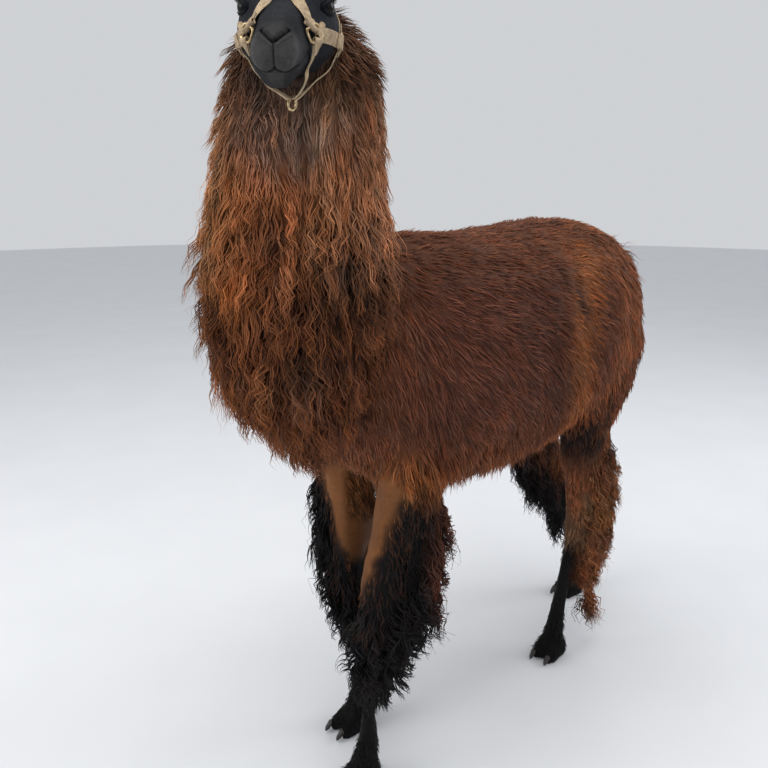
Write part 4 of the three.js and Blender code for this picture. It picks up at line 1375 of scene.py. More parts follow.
class HeadSurface:
    """The finished skin in the head's frame, in millimetres, to lay straps on."""

    def __init__(self, skin):
        points = moved(places(skin.data), ROW_TO_HEAD) / MM
        near = (np.abs(points - HEAD_MIDDLE) < HEAD_REACH).all(1)
        faces = [tuple(f.vertices) for f in skin.data.polygons if near[list(f.vertices)].all()]
        self.tree = BVHTree.FromPolygons([Vector(p) for p in points], faces)

    def at(self, ahead, degrees, lift=0.0):
        """A place on the head and the way it faces; 0 degrees is the head's left side, 90 its top."""
        height = float(np.interp(ahead, *HEAD_AXIS))
        angle = math.radians(degrees)
        tall = 0.92 if math.sin(angle) > 0 else 1.12
        way = Vector((math.cos(angle), 0, tall * math.sin(angle))).normalized()
        hit, facing = self.tree.ray_cast(Vector((0, -ahead, height)), way)[:2]
        if hit is None:
            raise RuntimeError(f"no head surface at {ahead}, {degrees}")
        return hit + facing * lift, facing

    def outside(self, place):
        """The place, moved out of the skin if it is in it."""
        hit, facing = self.tree.find_nearest(place)[:2]
        return place if (place - hit).dot(facing) > CLEARANCE else hit + facing * CLEARANCE

    def height(self, place, normal):
        """How far the skin stands above a place, measured along `normal`."""
        hit = self.tree.find_nearest(place)[0]
        return (hit - place).dot(normal)


def ring_frame(surface, spot, side):
    """Where a flat ring lies: its middle, its way ahead, its way up and the way it faces."""
    degrees = spot["degrees"] if side > 0 else 180 - spot["degrees"]
    turn = math.radians(spot["turn"])
    place, out = surface.at(spot["ahead"], degrees, RING_LIFT + 0.8 * spot["long"] * math.sin(turn))
    flat = flattened(Vector((0, -1, 0)), out)
    up = out.cross(flat)
    up = up if up.z > 0 else -up
    ahead = flat * math.cos(turn) - out * math.sin(turn)
    return place, ahead, up, out * math.cos(turn) + flat * math.sin(turn)


def ring_loop(place, ahead, up, long, high, count, start=0.0, square=1.0):
    """The middle line of a ring's wire: an oval, squarer where `square` is below 1."""
    loop = []
    for k in range(count):
        angle = 2 * math.pi * (k + start) / count
        a, b = (math.copysign(abs(part) ** square, part) for part in (math.cos(angle), math.sin(angle)))
        loop.append(place + ahead * long * a + up * high * b)
    return loop


def wire_ring(points, radius, sides=12):
    """A closed loop of round wire: points and faces."""
    points = [Vector(p) for p in points]
    middle = sum(points, Vector()) / len(points)
    normal = (points[0] - middle).cross(points[len(points) // 4] - middle).normalized()
    rows = []
    for i, point in enumerate(points):
        way = points[(i + 1) % len(points)] - points[i - 1]
        out = way.cross(normal).normalized()
        for k in range(sides):
            angle = 2 * math.pi * k / sides
            rows.append(point + out * radius * math.cos(angle) + normal * radius * math.sin(angle))
    return rows, tube_faces(0, len(points), sides, closed=True)


def smooth_path(path, rounds):
    path = np.array(path, float)
    for _ in range(rounds):
        path[1:-1] = path[1:-1] * 0.5 + (path[:-2] + path[2:]) * 0.25
    return path


def through(knots, count):
    """Points on a smooth curve through knots of any number of values."""
    knots = np.array(knots, float)
    if len(knots) == 2:
        return knots[0] + (knots[1] - knots[0]) * np.linspace(0, 1, count)[:, None]
    ends = np.vstack([2 * knots[0] - knots[1], knots, 2 * knots[-1] - knots[-2]])
    place = np.linspace(0, len(knots) - 1 - 1e-9, count)
    i = place.astype(int)
    t = (place - i)[:, None]
    a, b, c, d = ends[i], ends[i + 1], ends[i + 2], ends[i + 3]
    return 0.5 * (2 * b + (c - a) * t + (2 * a - 5 * b + 4 * c - d) * t**2 + (3 * b - a - 3 * c + d) * t**3)


def way_at(path, i):
    """The way that a path runs at one of its points."""
    return path[min(i + 1, len(path) - 1)] - path[max(i - 1, 0)]


def ways_across(path, facing):
    return [out.cross(way_at(path, i)).normalized() for i, out in enumerate(facing)]


def laid_path(surface, knots, half, count=60):
    """A strap's middle line over the head: flat across its width, touching where the head stands highest.

    A knot is (ahead, degrees, lift) on the head, or ((x, y, z), (facing)) where the strap hangs free.
    """
    rows = []
    for knot in knots:
        if len(knot) == 2:
            rows.append((*knot[0], *Vector(knot[1]).normalized(), 0, 1))
        else:
            place, facing = surface.at(*knot)
            rows.append((*place, *facing, knot[2], 0))
    laid = through(rows, count)
    path, facing, lift = laid[:, :3], laid[:, 3:6], laid[:, 6]
    loose = np.clip(laid[:, 7], 0, 1)
    facing = np.array([Vector(f).normalized() for f in facing])
    for i in range(count):
        if loose[i] > 0.5:
            path[i] = surface.outside(Vector(path[i]))
            continue
        normal = Vector(facing[i])
        across = normal.cross(Vector(way_at(path, i))).normalized()
        spots = [Vector(path[i]) + across * half * k for k in (-1, -0.5, 0, 0.5, 1)]
        stand = max(surface.height(spot, normal) for spot in spots)
        path[i] += np.array(normal) * (stand + lift[i]) * (1 - loose[i])
    return smooth_path(path, 6), smooth_path(facing, 6)


def lengths_along(path):
    """How far along a path each of its points is."""
    return np.concatenate([[0], np.cumsum([(b - a).length for a, b in zip(path, path[1:])])])


def folded(path, facing, bar, normal, wire, thick):
    """A strap whose start passes under a ring's bar, round it and back over itself for 18 millimetres.

    Gives the fold and the way across it, the rest of the strap with its facings, and where to sew it.
    """
    reach = wire + thick * 0.5 + 0.1
    under = bar - normal * reach
    path = [p.copy() for p in path]
    for k in range(FOLD_STEPS):
        path[k] += normal * (under - path[k]).dot(normal) * (1 - k / FOLD_STEPS) ** 2
    first = next(k for k in range(len(path)) if (path[k] - under).length > 4 and k > 0)
    path, facing = [under] + path[first:], [normal] + facing[first:]
    for i, place in enumerate(path):
        twist = math.exp(-(((place - under).length / 12) ** 2))
        facing[i] = facing[i].lerp(normal, twist).normalized()
    across = ways_across(path, facing)
    away = flattened(path[2] - under, normal)
    side_way = normal.cross(away)
    turn = []
    for k in range(1, FOLD_STEPS + 1):
        angle = -math.pi / 2 + math.pi * k / FOLD_STEPS
        turn.append(bar - away * reach * math.cos(angle) + normal * reach * math.sin(angle))
    length = lengths_along(path)

    def along_path(distance):
        i = int(np.searchsorted(length, distance)) - 1
        part = (distance - length[i]) / (length[i + 1] - length[i])
        return [values[i].lerp(values[i + 1], part) for values in (path, facing, across)]

    back, back_across = [], []
    for distance in LAYER_PLACES:
        place, out, side_here = along_path(distance)
        gap = thick * LAYER_GAP
        lift = gap + (2 * reach - gap) * math.exp(-((distance / 5) ** 2))
        back.append(place + out * lift)
        back_across.append(side_here)
    place, out, side_here = along_path(SEAM_PLACE)
    ahead = (along_path(SEAM_PLACE + 2)[0] - along_path(SEAM_PLACE - 2)[0]).normalized()
    seam = (place + out * (thick * 1.55 + 0.15), ahead, side_here, out)
    return back[::-1] + turn[::-1], back_across[::-1] + [side_way] * len(turn), path, facing, seam


# A strap's cross-section, in half widths and thicknesses: its upper side, and then the lower one, mirrored.
UPPER_SIDE = ((-1, 0), (-0.97, 0.42), (-0.9, 0.5), (0, 0.5), (0.9, 0.5), (0.97, 0.42))
PROFILE = UPPER_SIDE + tuple((-a, -b) for a, b in UPPER_SIDE)


def strap_mesh(path, across, half, thick):
    """A band of webbing along a path: points, faces and each corner's place on the weave, in metres."""
    count, sides = len(path), len(PROFILE)
    length = lengths_along(path)
    points = []
    for i, place in enumerate(path):
        ahead = way_at(path, i).normalized()
        wide = flattened(across[i], ahead)
        normal = ahead.cross(wide)
        points += [place + wide * half * a + normal * thick * b for a, b in PROFILE]
    faces = [tuple(range(sides))[::-1], tuple(range((count - 1) * sides, count * sides))]
    marks = [(0.0, PROFILE[k][0] * half * MM) for k in faces[0]]
    marks += [(length[-1] * MM, PROFILE[k - (count - 1) * sides][0] * half * MM) for k in faces[1]]
    for i in range(count - 1):
        low, high = length[i] * MM, length[i + 1] * MM
        for k in range(sides):
            a, b = (PROFILE[corner % sides][0] * half * MM for corner in (k, k + 1))
            marks += [(low, a), (high, a), (high, b), (low, b)]
    return points, faces + tube_faces(0, count, sides), marks


def stitches(place, away, across, normal, half):
    """Two rows of stitches across a strap: a bead of thread for each, as points and faces."""
    points, faces = [], []
    number = max(int(half * 2 / STITCH_PITCH), 2)
    for row in (0, STITCH_ROW):
        for k in range(number):
            middle = place - away * row + across * ((k + 0.5) / number - 0.5) * 2 * half * SEAM_WIDTH
            start = len(points)
            for step, size in STITCH_RINGS:
                for j in range(STITCH_SIDES):
                    angle = 2 * math.pi * j / STITCH_SIDES
                    round_way = away * math.cos(angle) + normal * math.sin(angle)
                    points.append(middle + across * step * STITCH_REACH + round_way * STITCH_RADIUS * size)
            last = len(points) - STITCH_SIDES
            faces.append(tuple(start + j for j in range(STITCH_SIDES))[::-1])
            faces.append(tuple(last + j for j in range(STITCH_SIDES)))
            faces += tube_faces(start, len(STITCH_RINGS), STITCH_SIDES)
    return points, faces


def outward(points, faces):
    """The faces, turned if they look into the solid they close."""
    volume = 0.0
    for face in faces:
        a = Vector(points[face[0]])
        for k in range(1, len(face) - 1):
            volume += a.dot(Vector(points[face[k]]).cross(Vector(points[face[k + 1]])))
    return faces if volume > 0 else [tuple(face)[::-1] for face in faces]


class LLAMA_OT_halter(bpy.types.Operator):
    """The halter: webbing laid on the head, folded round its rings and sewn"""

    bl_idname = "llama.halter"
    bl_label = "Halter"

    def execute(self, context):
        sizes = context.scene.llama_halter
        surface = HeadSurface(bpy.data.objects["skin"])
        webbing, thread, brass = webbing_material(), thread_material(), brass_material()
        wire, thick = sizes.wire / MM, sizes.thickness / MM
        wide, thin = sizes.strap_width / MM / 2, sizes.thin_width / MM / 2

        def finish(name, points, faces, marks, material, slot):
            turned_faces = outward(points, faces)
            if turned_faces is not faces and marks is not None:
                flipped, start = [], 0
                for face in faces:
                    flipped += marks[start:start + len(face)][::-1]
                    start += len(face)
                marks = flipped
            marks = marks if marks is not None else [(0, 0)] * sum(len(f) for f in faces)
            placed = [HEAD_TO_ROW @ (Vector(p) * MM) for p in points]
            piece = mesh_piece(name, placed, turned_faces, marks, "weave")
            piece.data.materials.append(material)
            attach(piece, "root")
            return piece

        rings = {}
        for side, label in ((1, "left"), (-1, "right")):
            for kind, spot in (("side", SIDE_RING), ("rear", REAR_RING)):
                place, ahead, up, normal = ring_frame(surface, spot, side)
                rings[kind, side] = (place, ahead, up, normal)
                loop = ring_loop(place, ahead, up, spot["long"], spot["high"], 44, 0.5, 0.55)
                points, faces = wire_ring(loop, wire)
                piece = finish(f"ring_{kind}_{label}", points, faces, None, brass, "brass")
                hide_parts("halter_%s_ring_%s" % (kind, label))
        chin, across, reach = Vector(CHIN_RING["place"]), Vector(CHIN_RING["across"]), CHIN_RING["reach"]
        points, faces = wire_ring(ring_loop(chin, across, Vector((0, 0, 1)), reach, reach, 40), wire)
        piece = finish("ring_chin", points, faces, None, brass, "brass")
        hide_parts("halter_chin_ring")

        def bar_of(kind, side, way):
            spot = SIDE_RING if kind == "side" else REAR_RING
            place, ahead, up, normal = rings[kind, side]
            away = ahead * way[0] + up * way[1]
            return place + away * (spot["long"] * abs(way[0]) + spot["high"] * abs(way[1])), normal

        def sew(name, knots, half, start=None, end=None):
            """One strap from knots; each end can be folded round a bar, given by its middle and facing."""
            path, facing = laid_path(surface, knots, half)
            path = [Vector(p) for p in path]
            facing = [Vector(f).normalized() for f in facing]
            lead, lead_across, tail, tail_across, seams = [], [], [], [], []
            if start:
                lead, lead_across, path, facing, seam = folded(path, facing, *start, wire, thick)
                seams.append(seam)
            if end:
                tail, tail_across, path, facing, seam = folded(path[::-1], facing[::-1], *end, wire, thick)
                tail, tail_across = tail[::-1], [-way for way in tail_across[::-1]]
                path, facing = path[::-1], facing[::-1]
                seams.append(seam)
            across = lead_across + ways_across(path, facing) + tail_across
            path = lead + path + tail
            points, faces, marks = strap_mesh(path, across, half, thick)
            piece = finish("strap_" + name, points, faces, marks, webbing, "webbing")
            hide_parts("halter_" + name)
            for number, seam in enumerate(seams):
                points, faces = stitches(*seam, half)
                finish(f"stitches_{name}_{number}", points, faces, None, thread, "webbing")

        def on(side, degrees):
            return degrees if side > 0 else 180 - degrees

        for side, label in ((1, "left"), (-1, "right")):
            cheek = [(190, on(side, 10), 8), (170, on(side, 4), 4), (150, on(side, -1), 1.5)]
            cheek += [(118, on(side, -8), 1), (99, on(side, -12), 1)]
            bars = bar_of("side", side, (-1, 0)), bar_of("rear", side, (1, 0))
            sew("cheek_strap_" + label, cheek, wide, *bars)
            under = [
                (206, on(side, -4), 6),
                (203, on(side, -36), 2.5),
                ((side * 28 + 1, -194, -66), (side, 0, -0.75)),
                ((side * 8 + 7, -178, -88), (side * 0.6, 0, -1)),
                ((side * 2 + 7, -176, -90), (side * 0.2, 0, -1)),
            ]
            sew("chin_strap_" + label, under, thin, start=bar_of("side", side, (0, -1)))
            jaw = [
                (87, on(side, -24), 1),
                ((side * 57, -96, -59), (side, 0, -0.5)),
                ((side * 47, -112, -71), (side, 0, -0.8)),
                ((side * 31 + 2, -142, -81), (side, 0, -1)),
                ((side * 10 + 7, -169, -90), (side * 0.6, 0.3, -1)),
                ((side * 2 + 7, -175, -92.5), (side * 0.2, 0.3, -1)),
            ]
            sew("jaw_strap_" + label, jaw, thin, start=bar_of("rear", side, (0, -1)))
        nose = [(201, 29, 6), (188, 44, 2), (170, 59, 1), (154, 72, 1), (147, 90, 1)]
        nose += [(ahead, 180 - degrees, lift) for ahead, degrees, lift in nose[-2::-1]]
        sew("noseband", nose, wide, bar_of("side", 1, (0, 1)), bar_of("side", -1, (0, 1)))
        crown = [(66, -8, 1), (46, 10, 1), (26, 40, 1), (16, 90, 1)]
        crown += [(ahead, 180 - degrees, lift) for ahead, degrees, lift in crown[-2::-1]]
        sew("crown_strap", crown, wide, bar_of("rear", 1, (-1, 0)), bar_of("rear", -1, (-1, 0)))
        return {"FINISHED"}


# ---------------------------------------------------------------- coat

# The size of a lock's patch on the OFBake map.
PATCH = 0.003
# How dark a lock is painted at its root, as the coat's shade over its roots, and how light at its tip, as
# shares of its colour.
ROOT_SHADE, TIP_LIGHT = 0.42, 1.1
# How deep a lock starts in the skin.
BURIED = 2.5 * MM
# How many times a clump's size a bunch of clumps is.
BUNCH = 2.4
# No lock comes nearer to the floor.
FLOOR_GAP = 1.5 * MM
# The height of the trunk's axis, which its coat is unwrapped about.
TRUNK_AXIS = 0.85
# Above this height in the body's frame the head's coat is the crown's tuft.
CROWN_HEIGHT = 1.522
SQUARE_CENTIMETRES = 1e4
DOWN = np.array((0, 0, -1.0))

# Locks differ by chance: ranges of what their traits are multiplied by, how far they turn sideways, and how
# far they are off their clump's beat.
LOCK_LENGTHS, LOCK_WIDTHS, LOCK_LIFTS, LOCK_SHADES = (0.6, 1.15), (0.65, 1.3), (0.55, 1.45), (0.78, 1.24)
LOCK_PULLS, LOCK_WAVES, LOCK_SIDEWAYS, LOCK_BEAT = (0.6, 1.15), (0.75, 1.25), 0.13, 0.32
# The same for clumps, which all the locks of one share.
CLUMP_SHADES, CLUMP_WAVES, CLUMP_TURNS = (0.62, 1.42), (0.35, 1.6), (0.78, 1.25)
# A few thin strands of long coat stray out of their clumps and are painted lighter, as if sunlit: how many,
# how much further they lift, how much painted light they get, and how their other traits change.
STRAYS, STRAY_LIFT, STRAY_LIGHT = 0.08, np.radians(16), 0.7
STRAY_CHANGES = {"width": -0.45, "pull": -0.75, "wave": 0.4}
# A lock's cross-section in half widths: its ridge faces out, its flat side lies on the coat below.
LOCK_SECTION = ((0.0, 0.62), (0.95, -0.30), (-0.95, -0.30))
# How far from a clump's middle, in clumps, the painted shade of the gaps between clumps starts and is
# deepest.
CLUMP_GAP_SHADE = (0.22, 0.62)


class Ground:
    """The skin that locks grow from: its faces, and every trait of the coat at its corners."""

    def __init__(self, skin):
        mesh = skin.data
        mesh.calc_loop_triangles()
        self.corners = read(mesh.loop_triangles, "vertices", 3, np.int32)
        self.points = places(mesh)
        self.facing = normals(mesh)
        self.share = shares(mesh, Outline(), 8)
        spread = Spread(mesh)
        traits = traits_of(self.points, self.share)
        names = list(traits)
        smooth = spread.times(np.stack([traits[name] for name in names], 1), 4)
        self.traits = dict(zip(names, smooth.T))
        self.lie = spread.times(lie_of(self.points, self.facing, self.share), 3)
        a, b, c = (self.points[self.corners[:, k]] for k in range(3))
        self.area = np.linalg.norm(np.cross(b - a, c - a), axis=1) / 2
        self.middle = (a + b + c) / 3
        self.owner = self.share[self.corners].mean(1)

    def sow(self, chosen, random):
        """Roots on the chosen faces, as thick as the coat's count: one batch of arrays."""
        faces = np.flatnonzero(chosen)
        count = self.traits["count"][self.corners[faces]].mean(1)
        wanted = self.area[faces] * count * SQUARE_CENTIMETRES
        number = np.floor(wanted + random.random(len(faces))).astype(int)
        faces = np.repeat(faces, number)
        u, v = random.random((2, len(faces)))
        over = u + v > 1
        u[over], v[over] = 1 - u[over], 1 - v[over]
        weight = np.stack([1 - u - v, u, v], 1)
        corner = self.corners[faces]

        def at(values):
            picked = values[corner]
            return np.einsum("nk,nk...->n...", weight, picked)

        facing = unit(at(self.facing))
        lie = at(self.lie)
        lie = unit(lie - facing * dot(facing, lie))
        batch = {name: at(values) for name, values in self.traits.items()}
        batch.update(root=at(self.points), facing=facing, lie=lie, share=at(self.share))
        return batch


# Makes one number of the three that name a cell of space.
CELL_CODE = np.array((1, 1009, 1018081))


def clumps_of(roots, size, random):
    """For each root the index of the root that leads its clump."""
    cell = np.floor((roots + random.random(3) * size) / size).astype(np.int64)
    leaders = np.unique(cell @ CELL_CODE, return_index=True)[1]
    tree = KDTree(len(leaders))
    for i, leader in enumerate(leaders):
        tree.insert(Vector(roots[leader]), i)
    tree.balance()
    return leaders[[tree.find(Vector(root))[1] for root in roots]]


def centre_lines(batch, joints, random):
    """The middle line of each lock, before waves: an array of locks by joints by 3."""
    count = len(batch["root"])
    facing, lie = batch["facing"], batch["lie"]
    lift = np.radians(batch["lift"] * random.uniform(*LOCK_LIFTS, count))
    lift += STRAY_LIFT * batch["stray"]
    sideways = np.cross(facing, lie) * random.normal(0, LOCK_SIDEWAYS, count)[:, None]
    pulled = DOWN - facing * np.minimum(dot(facing, DOWN), 0)
    line = [batch["root"] - facing * BURIED]
    step = (batch["length"] / joints)[:, None]
    for k in range(joints):
        t = (k + 0.5) / joints
        angle = (lift * (1.15 - 0.75 * t))[:, None]
        way = (lie + sideways) * np.cos(angle) + facing * np.sin(angle)
        way = unit(way + pulled * (batch["droop"] * t * 0.9)[:, None])
        line.append(line[-1] + way * step)
    return np.stack(line, 1)


def grow_locks(name, batch, joints, random, tip_colour):
    """One closed mesh of three-sided locks, painted, with the maps that the materials read."""
    count = len(batch["root"])
    leader = clumps_of(batch["root"], float(np.median(batch["clump"])), random)
    bunch = clumps_of(batch["root"], BUNCH * float(np.median(batch["clump"])), random)
    ragged = ease(30 * MM, 90 * MM, batch["length"])
    uneven = random.normal(0, 1, count)
    batch["length"] = batch["length"] * random.uniform(*LOCK_LENGTHS, count)
    batch["length"] *= np.clip(1 + ragged * (0.16 * uneven[leader] + 0.14 * uneven[bunch]), 0.45, 1.35)
    batch["lift"] = batch["lift"] * np.clip(1 + 0.3 * uneven[::-1][leader], 0.4, 1.7)
    stray = random.random(count) < STRAYS * ease(50 * MM, 75 * MM, batch["length"])
    batch["stray"] = stray * 1.0
    for trait, change in STRAY_CHANGES.items():
        batch[trait] = batch[trait] * (1 + change * stray)
    line = centre_lines(batch, joints, random)
    t = np.linspace(0, 1, joints + 1)
    # Locks draw in towards the one that leads their clump, more towards the tip; clumps gather a little
    # as well.
    for lead, share, power in ((leader, 1.0, 1.2), (bunch, 0.3, 1.6)):
        pull = batch["pull"][:, None] * share * t[None] ** power * random.uniform(*LOCK_PULLS, (count, 1))
        apart = (line[:, :1] - line[lead][:, :1]) * 0.22
        line = line + (line[lead] + apart - line) * np.minimum(pull, 1)[..., None]
    # Waves: a lock keeps near the beat of its clump.
    beat = random.uniform(0, 2 * np.pi, count)
    phase = beat[leader] + random.normal(0, LOCK_BEAT, count)
    turns = batch["length"] / batch["wavelength"] * random.uniform(*CLUMP_TURNS, count)[leader]
    size = batch["wave"] * random.uniform(*CLUMP_WAVES, count)[leader] * random.uniform(*LOCK_WAVES, count)
    across = unit(np.cross(batch["facing"], batch["lie"]))
    angle = phase[:, None] + 2 * np.pi * turns[:, None] * t
    ease_in = np.minimum(t * 2.2, 1)
    swing = (np.sin(angle) * ease_in * size[:, None])[..., None] * across[:, None]
    heave = (np.cos(angle) * ease_in * size[:, None] * 0.55)[..., None] * batch["facing"][:, None]
    line = line + swing + heave
    line[..., 2] = np.maximum(line[..., 2], FLOOR_GAP)
    return lock_mesh(name, batch, line, t, leader, random, TIP_LIGHT, tip_colour)


def lock_faces(joints):
    """One lock's faces, from its root's cap to its tip, and each corner's place on its map."""
    faces = [(0, 1, 2)]
    marks = [((0, 0), (1 / 3, 0), (2 / 3, 0))]
    for k in range(joints - 1):
        for j in range(3):
            n = (j + 1) % 3
            faces.append((3 * k + j, 3 * k + 3 + j, 3 * k + 3 + n, 3 * k + n))
            low, high = k / joints, (k + 1) / joints
            marks.append(((j / 3, low), (j / 3, high), ((j + 1) / 3, high), ((j + 1) / 3, low)))
    last = 3 * (joints - 1)
    for j in range(3):
        faces.append((last + j, 3 * joints, last + (j + 1) % 3))
        low = (joints - 1) / joints
        marks.append(((j / 3, low), ((j + 0.5) / 3, 1), ((j + 1) / 3, low)))
    return faces, np.array([mark for face in marks for mark in face])


def copied_mesh(name, points, faces, count):
    """A mesh of `count` shapes with the same faces, each on its own run of the points."""
    sizes = np.array([len(face) for face in faces])
    loops = np.concatenate([np.array(face) for face in faces])
    mesh = bpy.data.meshes.new(name)
    mesh.vertices.add(len(points))
    set_places(mesh, points)
    every = (loops[None] + (np.arange(count) * (len(points) // count))[:, None]).ravel()
    mesh.loops.add(len(every))
    mesh.loops.foreach_set("vertex_index", every.astype(np.int32))
    starts = np.concatenate([[0], np.cumsum(sizes)[:-1]])
    starts = (starts[None] + (np.arange(count) * len(loops))[:, None]).ravel()
    mesh.polygons.add(len(starts))
    mesh.polygons.foreach_set("loop_start", starts.astype(np.int32))
    make_smooth(mesh)
    return mesh


def lock_mesh(name, batch, line, t, leader, random, tips, tip_colour):
    """Three-sided locks along their middle lines, each painted darker at its root as shade, with both maps.
    """
    count, joints = len(line), line.shape[1] - 1
    ahead = unit(np.concatenate([line[:, 1:] - line[:, :-1], line[:, -1:] - line[:, -2:-1]], 1))
    ahead[:, 1:-1] = unit(ahead[:, 1:-1] + ahead[:, :-2])
    side = unit(np.cross(ahead, batch["facing"][:, None] + 0.01))
    top = np.cross(side, ahead)
    swell_out = np.array([0.75 + 0.5 * np.sin(np.pi * min(k / joints * 1.25, 1)) for k in range(joints)])
    taper = swell_out * (1 - (t[:-1] * 0.92) ** 2.2)
    half = (batch["width"] * random.uniform(*LOCK_WIDTHS, count))[:, None] * taper
    rings = [
        line[:, :-1] + side[:, :-1] * (half * a)[..., None] + top[:, :-1] * (half * b)[..., None]
        for a, b in LOCK_SECTION
    ]
    rings = np.stack(rings, 2).reshape(count, -1, 3)
    points = np.concatenate([rings, line[:, -1:]], 1).reshape(-1, 3)
    faces, marks = lock_faces(joints)
    mesh = copied_mesh(name, points, faces, count)

    # Colour: the marking at the root, its own shade for each clump and lock, painted shade in the gaps
    # between clumps and at the roots, painted light on stray strands, and lighter tips.
    own = markings(batch["root"], batch["share"])
    apart = np.linalg.norm(batch["root"] - batch["root"][leader], axis=1) / batch["clump"]
    # Painted shade in the gaps between clumps, on long coat.
    clump_gap_shade = ease(*CLUMP_GAP_SHADE, apart) * ease(8 * MM, 40 * MM, batch["length"])
    clump_shade = random.uniform(*CLUMP_SHADES, count)[leader] * (1.12 - 0.5 * clump_gap_shade)
    clump_shade = clump_shade ** batch.get("contrast", 1.0)
    warmth = random.normal(0, 0.07, count)[leader] + random.normal(0, 0.05, count)
    lock_shade = random.uniform(*LOCK_SHADES, count) * (1 + STRAY_LIGHT * batch.get("stray", 0))
    own = own * (clump_shade * lock_shade)[:, None]
    own = own * np.stack([1 + warmth, np.ones(count), 1 - warmth], 1)
    along = np.concatenate([np.repeat(t[:-1], 3), [1.0]])
    rise = ROOT_SHADE + (1 - ROOT_SHADE) * np.minimum(along / 0.5, 1)
    rise = rise * (1 + (tips - 1) * ease(0.5, 1, along))
    colours = own[:, None] * rise[None, :, None]
    if tip_colour is not None:
        sunny = random.random(count) ** 2 * 1.6
        bleached = np.minimum(batch["bleach"] * sunny, 0.95)[:, None] * ease(0.25, 0.9, along)[None]
        colours = mix(colours, np.broadcast_to(tip_colour, colours.shape), bleached)
    paint(mesh, "markings", colours.reshape(-1, 3))

    strand = mesh.uv_layers.new(name="strand")
    drawn = marks[None] + random.uniform(0, 50, (count, 1, 2))
    drawn[..., 1] = marks[None, :, 1] * (batch["length"] / (20 * MM))[:, None]
    drawn[..., 1] += random.uniform(0, 50, (count, 1))
    strand.data.foreach_set("uv", drawn.astype(np.float32).ravel())
    bake = mesh.uv_layers.new(name="OFBake")
    spot = batch["unwrap"][:, None] + (marks[None] - 0.5) * PATCH
    bake.data.foreach_set("uv", spot.astype(np.float32).ravel())
    mesh.uv_layers.active = strand
    mesh.update(calc_edges=True)
    mesh.validate()
    piece = bpy.data.objects.new(name, mesh)
    bpy.context.scene.collection.objects.link(piece)
    return piece


def unwrapped(points, about):
    """Each root's place on an unwrap of the skin: the turn round the region's axis, and the way along it."""
    if about == "trunk":
        body = in_body(points)
        round_way = np.arctan2(body[:, 0], body[:, 2] - TRUNK_AXIS)
        along = body[:, 1]
    elif about == "head":
        local = moved(points, ROW_TO_HEAD)
        round_way = np.arctan2(local[:, 0], local[:, 2] + 0.01)
        along = local[:, 1] + 0.4 * np.maximum(local[:, 2] - 0.06, 0)
    else:
        middle = points[:, :2].mean(0)
        round_way = np.arctan2(points[:, 0] - middle[0], middle[1] - points[:, 1])
        along = points[:, 2]
    flat = np.stack([round_way, along], 1)
    low, high = flat.min(0), flat.max(0)
    return 2 * PATCH + (flat - low) / (high - low) * (1 - 4 * PATCH)


# The neck is parted into left and right at this place across, and its coat into bands at these heights;
# the trunk's is parted into shoulder and hip at this place along. A lock belongs to the face that it
# grows from.
ALL = (-9, 9)
NECK_MIDDLE, CHEST_TOP, THROAT_FOOT, HIP_START = 0.012, 0.96, 1.20, -0.02


def within(regions, x=ALL, y=ALL, z=ALL):
    """A test for the faces of some regions that lie in a box of the body's frame."""
    numbers = [REGIONS.index(region) for region in regions.split()]
    low, high = np.array((x, y, z)).T

    def chosen(owner, place):
        return np.isin(np.argmax(owner, 1), numbers) & (place >= low).all(1) & (place < high).all(1)

    return chosen


def coat_pieces():
    """Each piece of coat: its name, its faces, the joints of a lock, what it is unwrapped about, its slot."""
    for side, x in (("left", (NECK_MIDDLE, 9)), ("right", (-9, NECK_MIDDLE))):
        yield "coat_throat_" + side, within("neck", x, z=(THROAT_FOOT, 9)), 5, "neck", "brown_wool"
        yield "coat_neck_" + side, within("neck", x, z=(CHEST_TOP, THROAT_FOOT)), 7, "neck", "brown_wool"
    yield "coat_chest", within("neck", z=(-9, CHEST_TOP)), 7, "neck", "brown_wool"
    for side, x in (("left", (0, 9)), ("right", (-9, 0))):
        yield "coat_shoulder_" + side, within("trunk", x, (-9, HIP_START)), 3, "trunk", "brown_wool"
        yield "coat_hip_" + side, within("trunk", x, (HIP_START, 9)), 3, "trunk", "brown_wool"
        yield "coat_thigh_" + side, within("upper_hind", x), 4, "leg", "brown_wool"
        yield "coat_forearm_" + side, within("upper_fore", x), 4, "leg", "brown_wool"
        yield "coat_shin_" + side, within("lower_leg foot", x), 2, "leg", "dark_wool"
    yield "coat_tail", within("tail"), 5, "leg", "brown_wool"
    yield "coat_face", within("head", z=(-9, CROWN_HEIGHT)), 2, "head", "face_hair"
    yield "coat_ears", within("ear"), 2, "head", "face_hair"
    yield "coat_crown", within("head", z=(CROWN_HEIGHT, 9)), 5, "head", "face_hair"


BLEACH = {"neck": 0.42, "trunk": 0.1, "upper_hind": 0.16, "tail": 0.2, "upper_fore": 0.12}


def wool_tips(body, part):
    """How far the tips of hanging wool are bleached by the sun."""
    x, y, z = body.T
    fore = part["wool_fore"] + part["upper_fore"]
    return 0.28 * fore * ease(0.3, 0.5, z) * ease(-0.22, -0.16, y) * (x > 0)


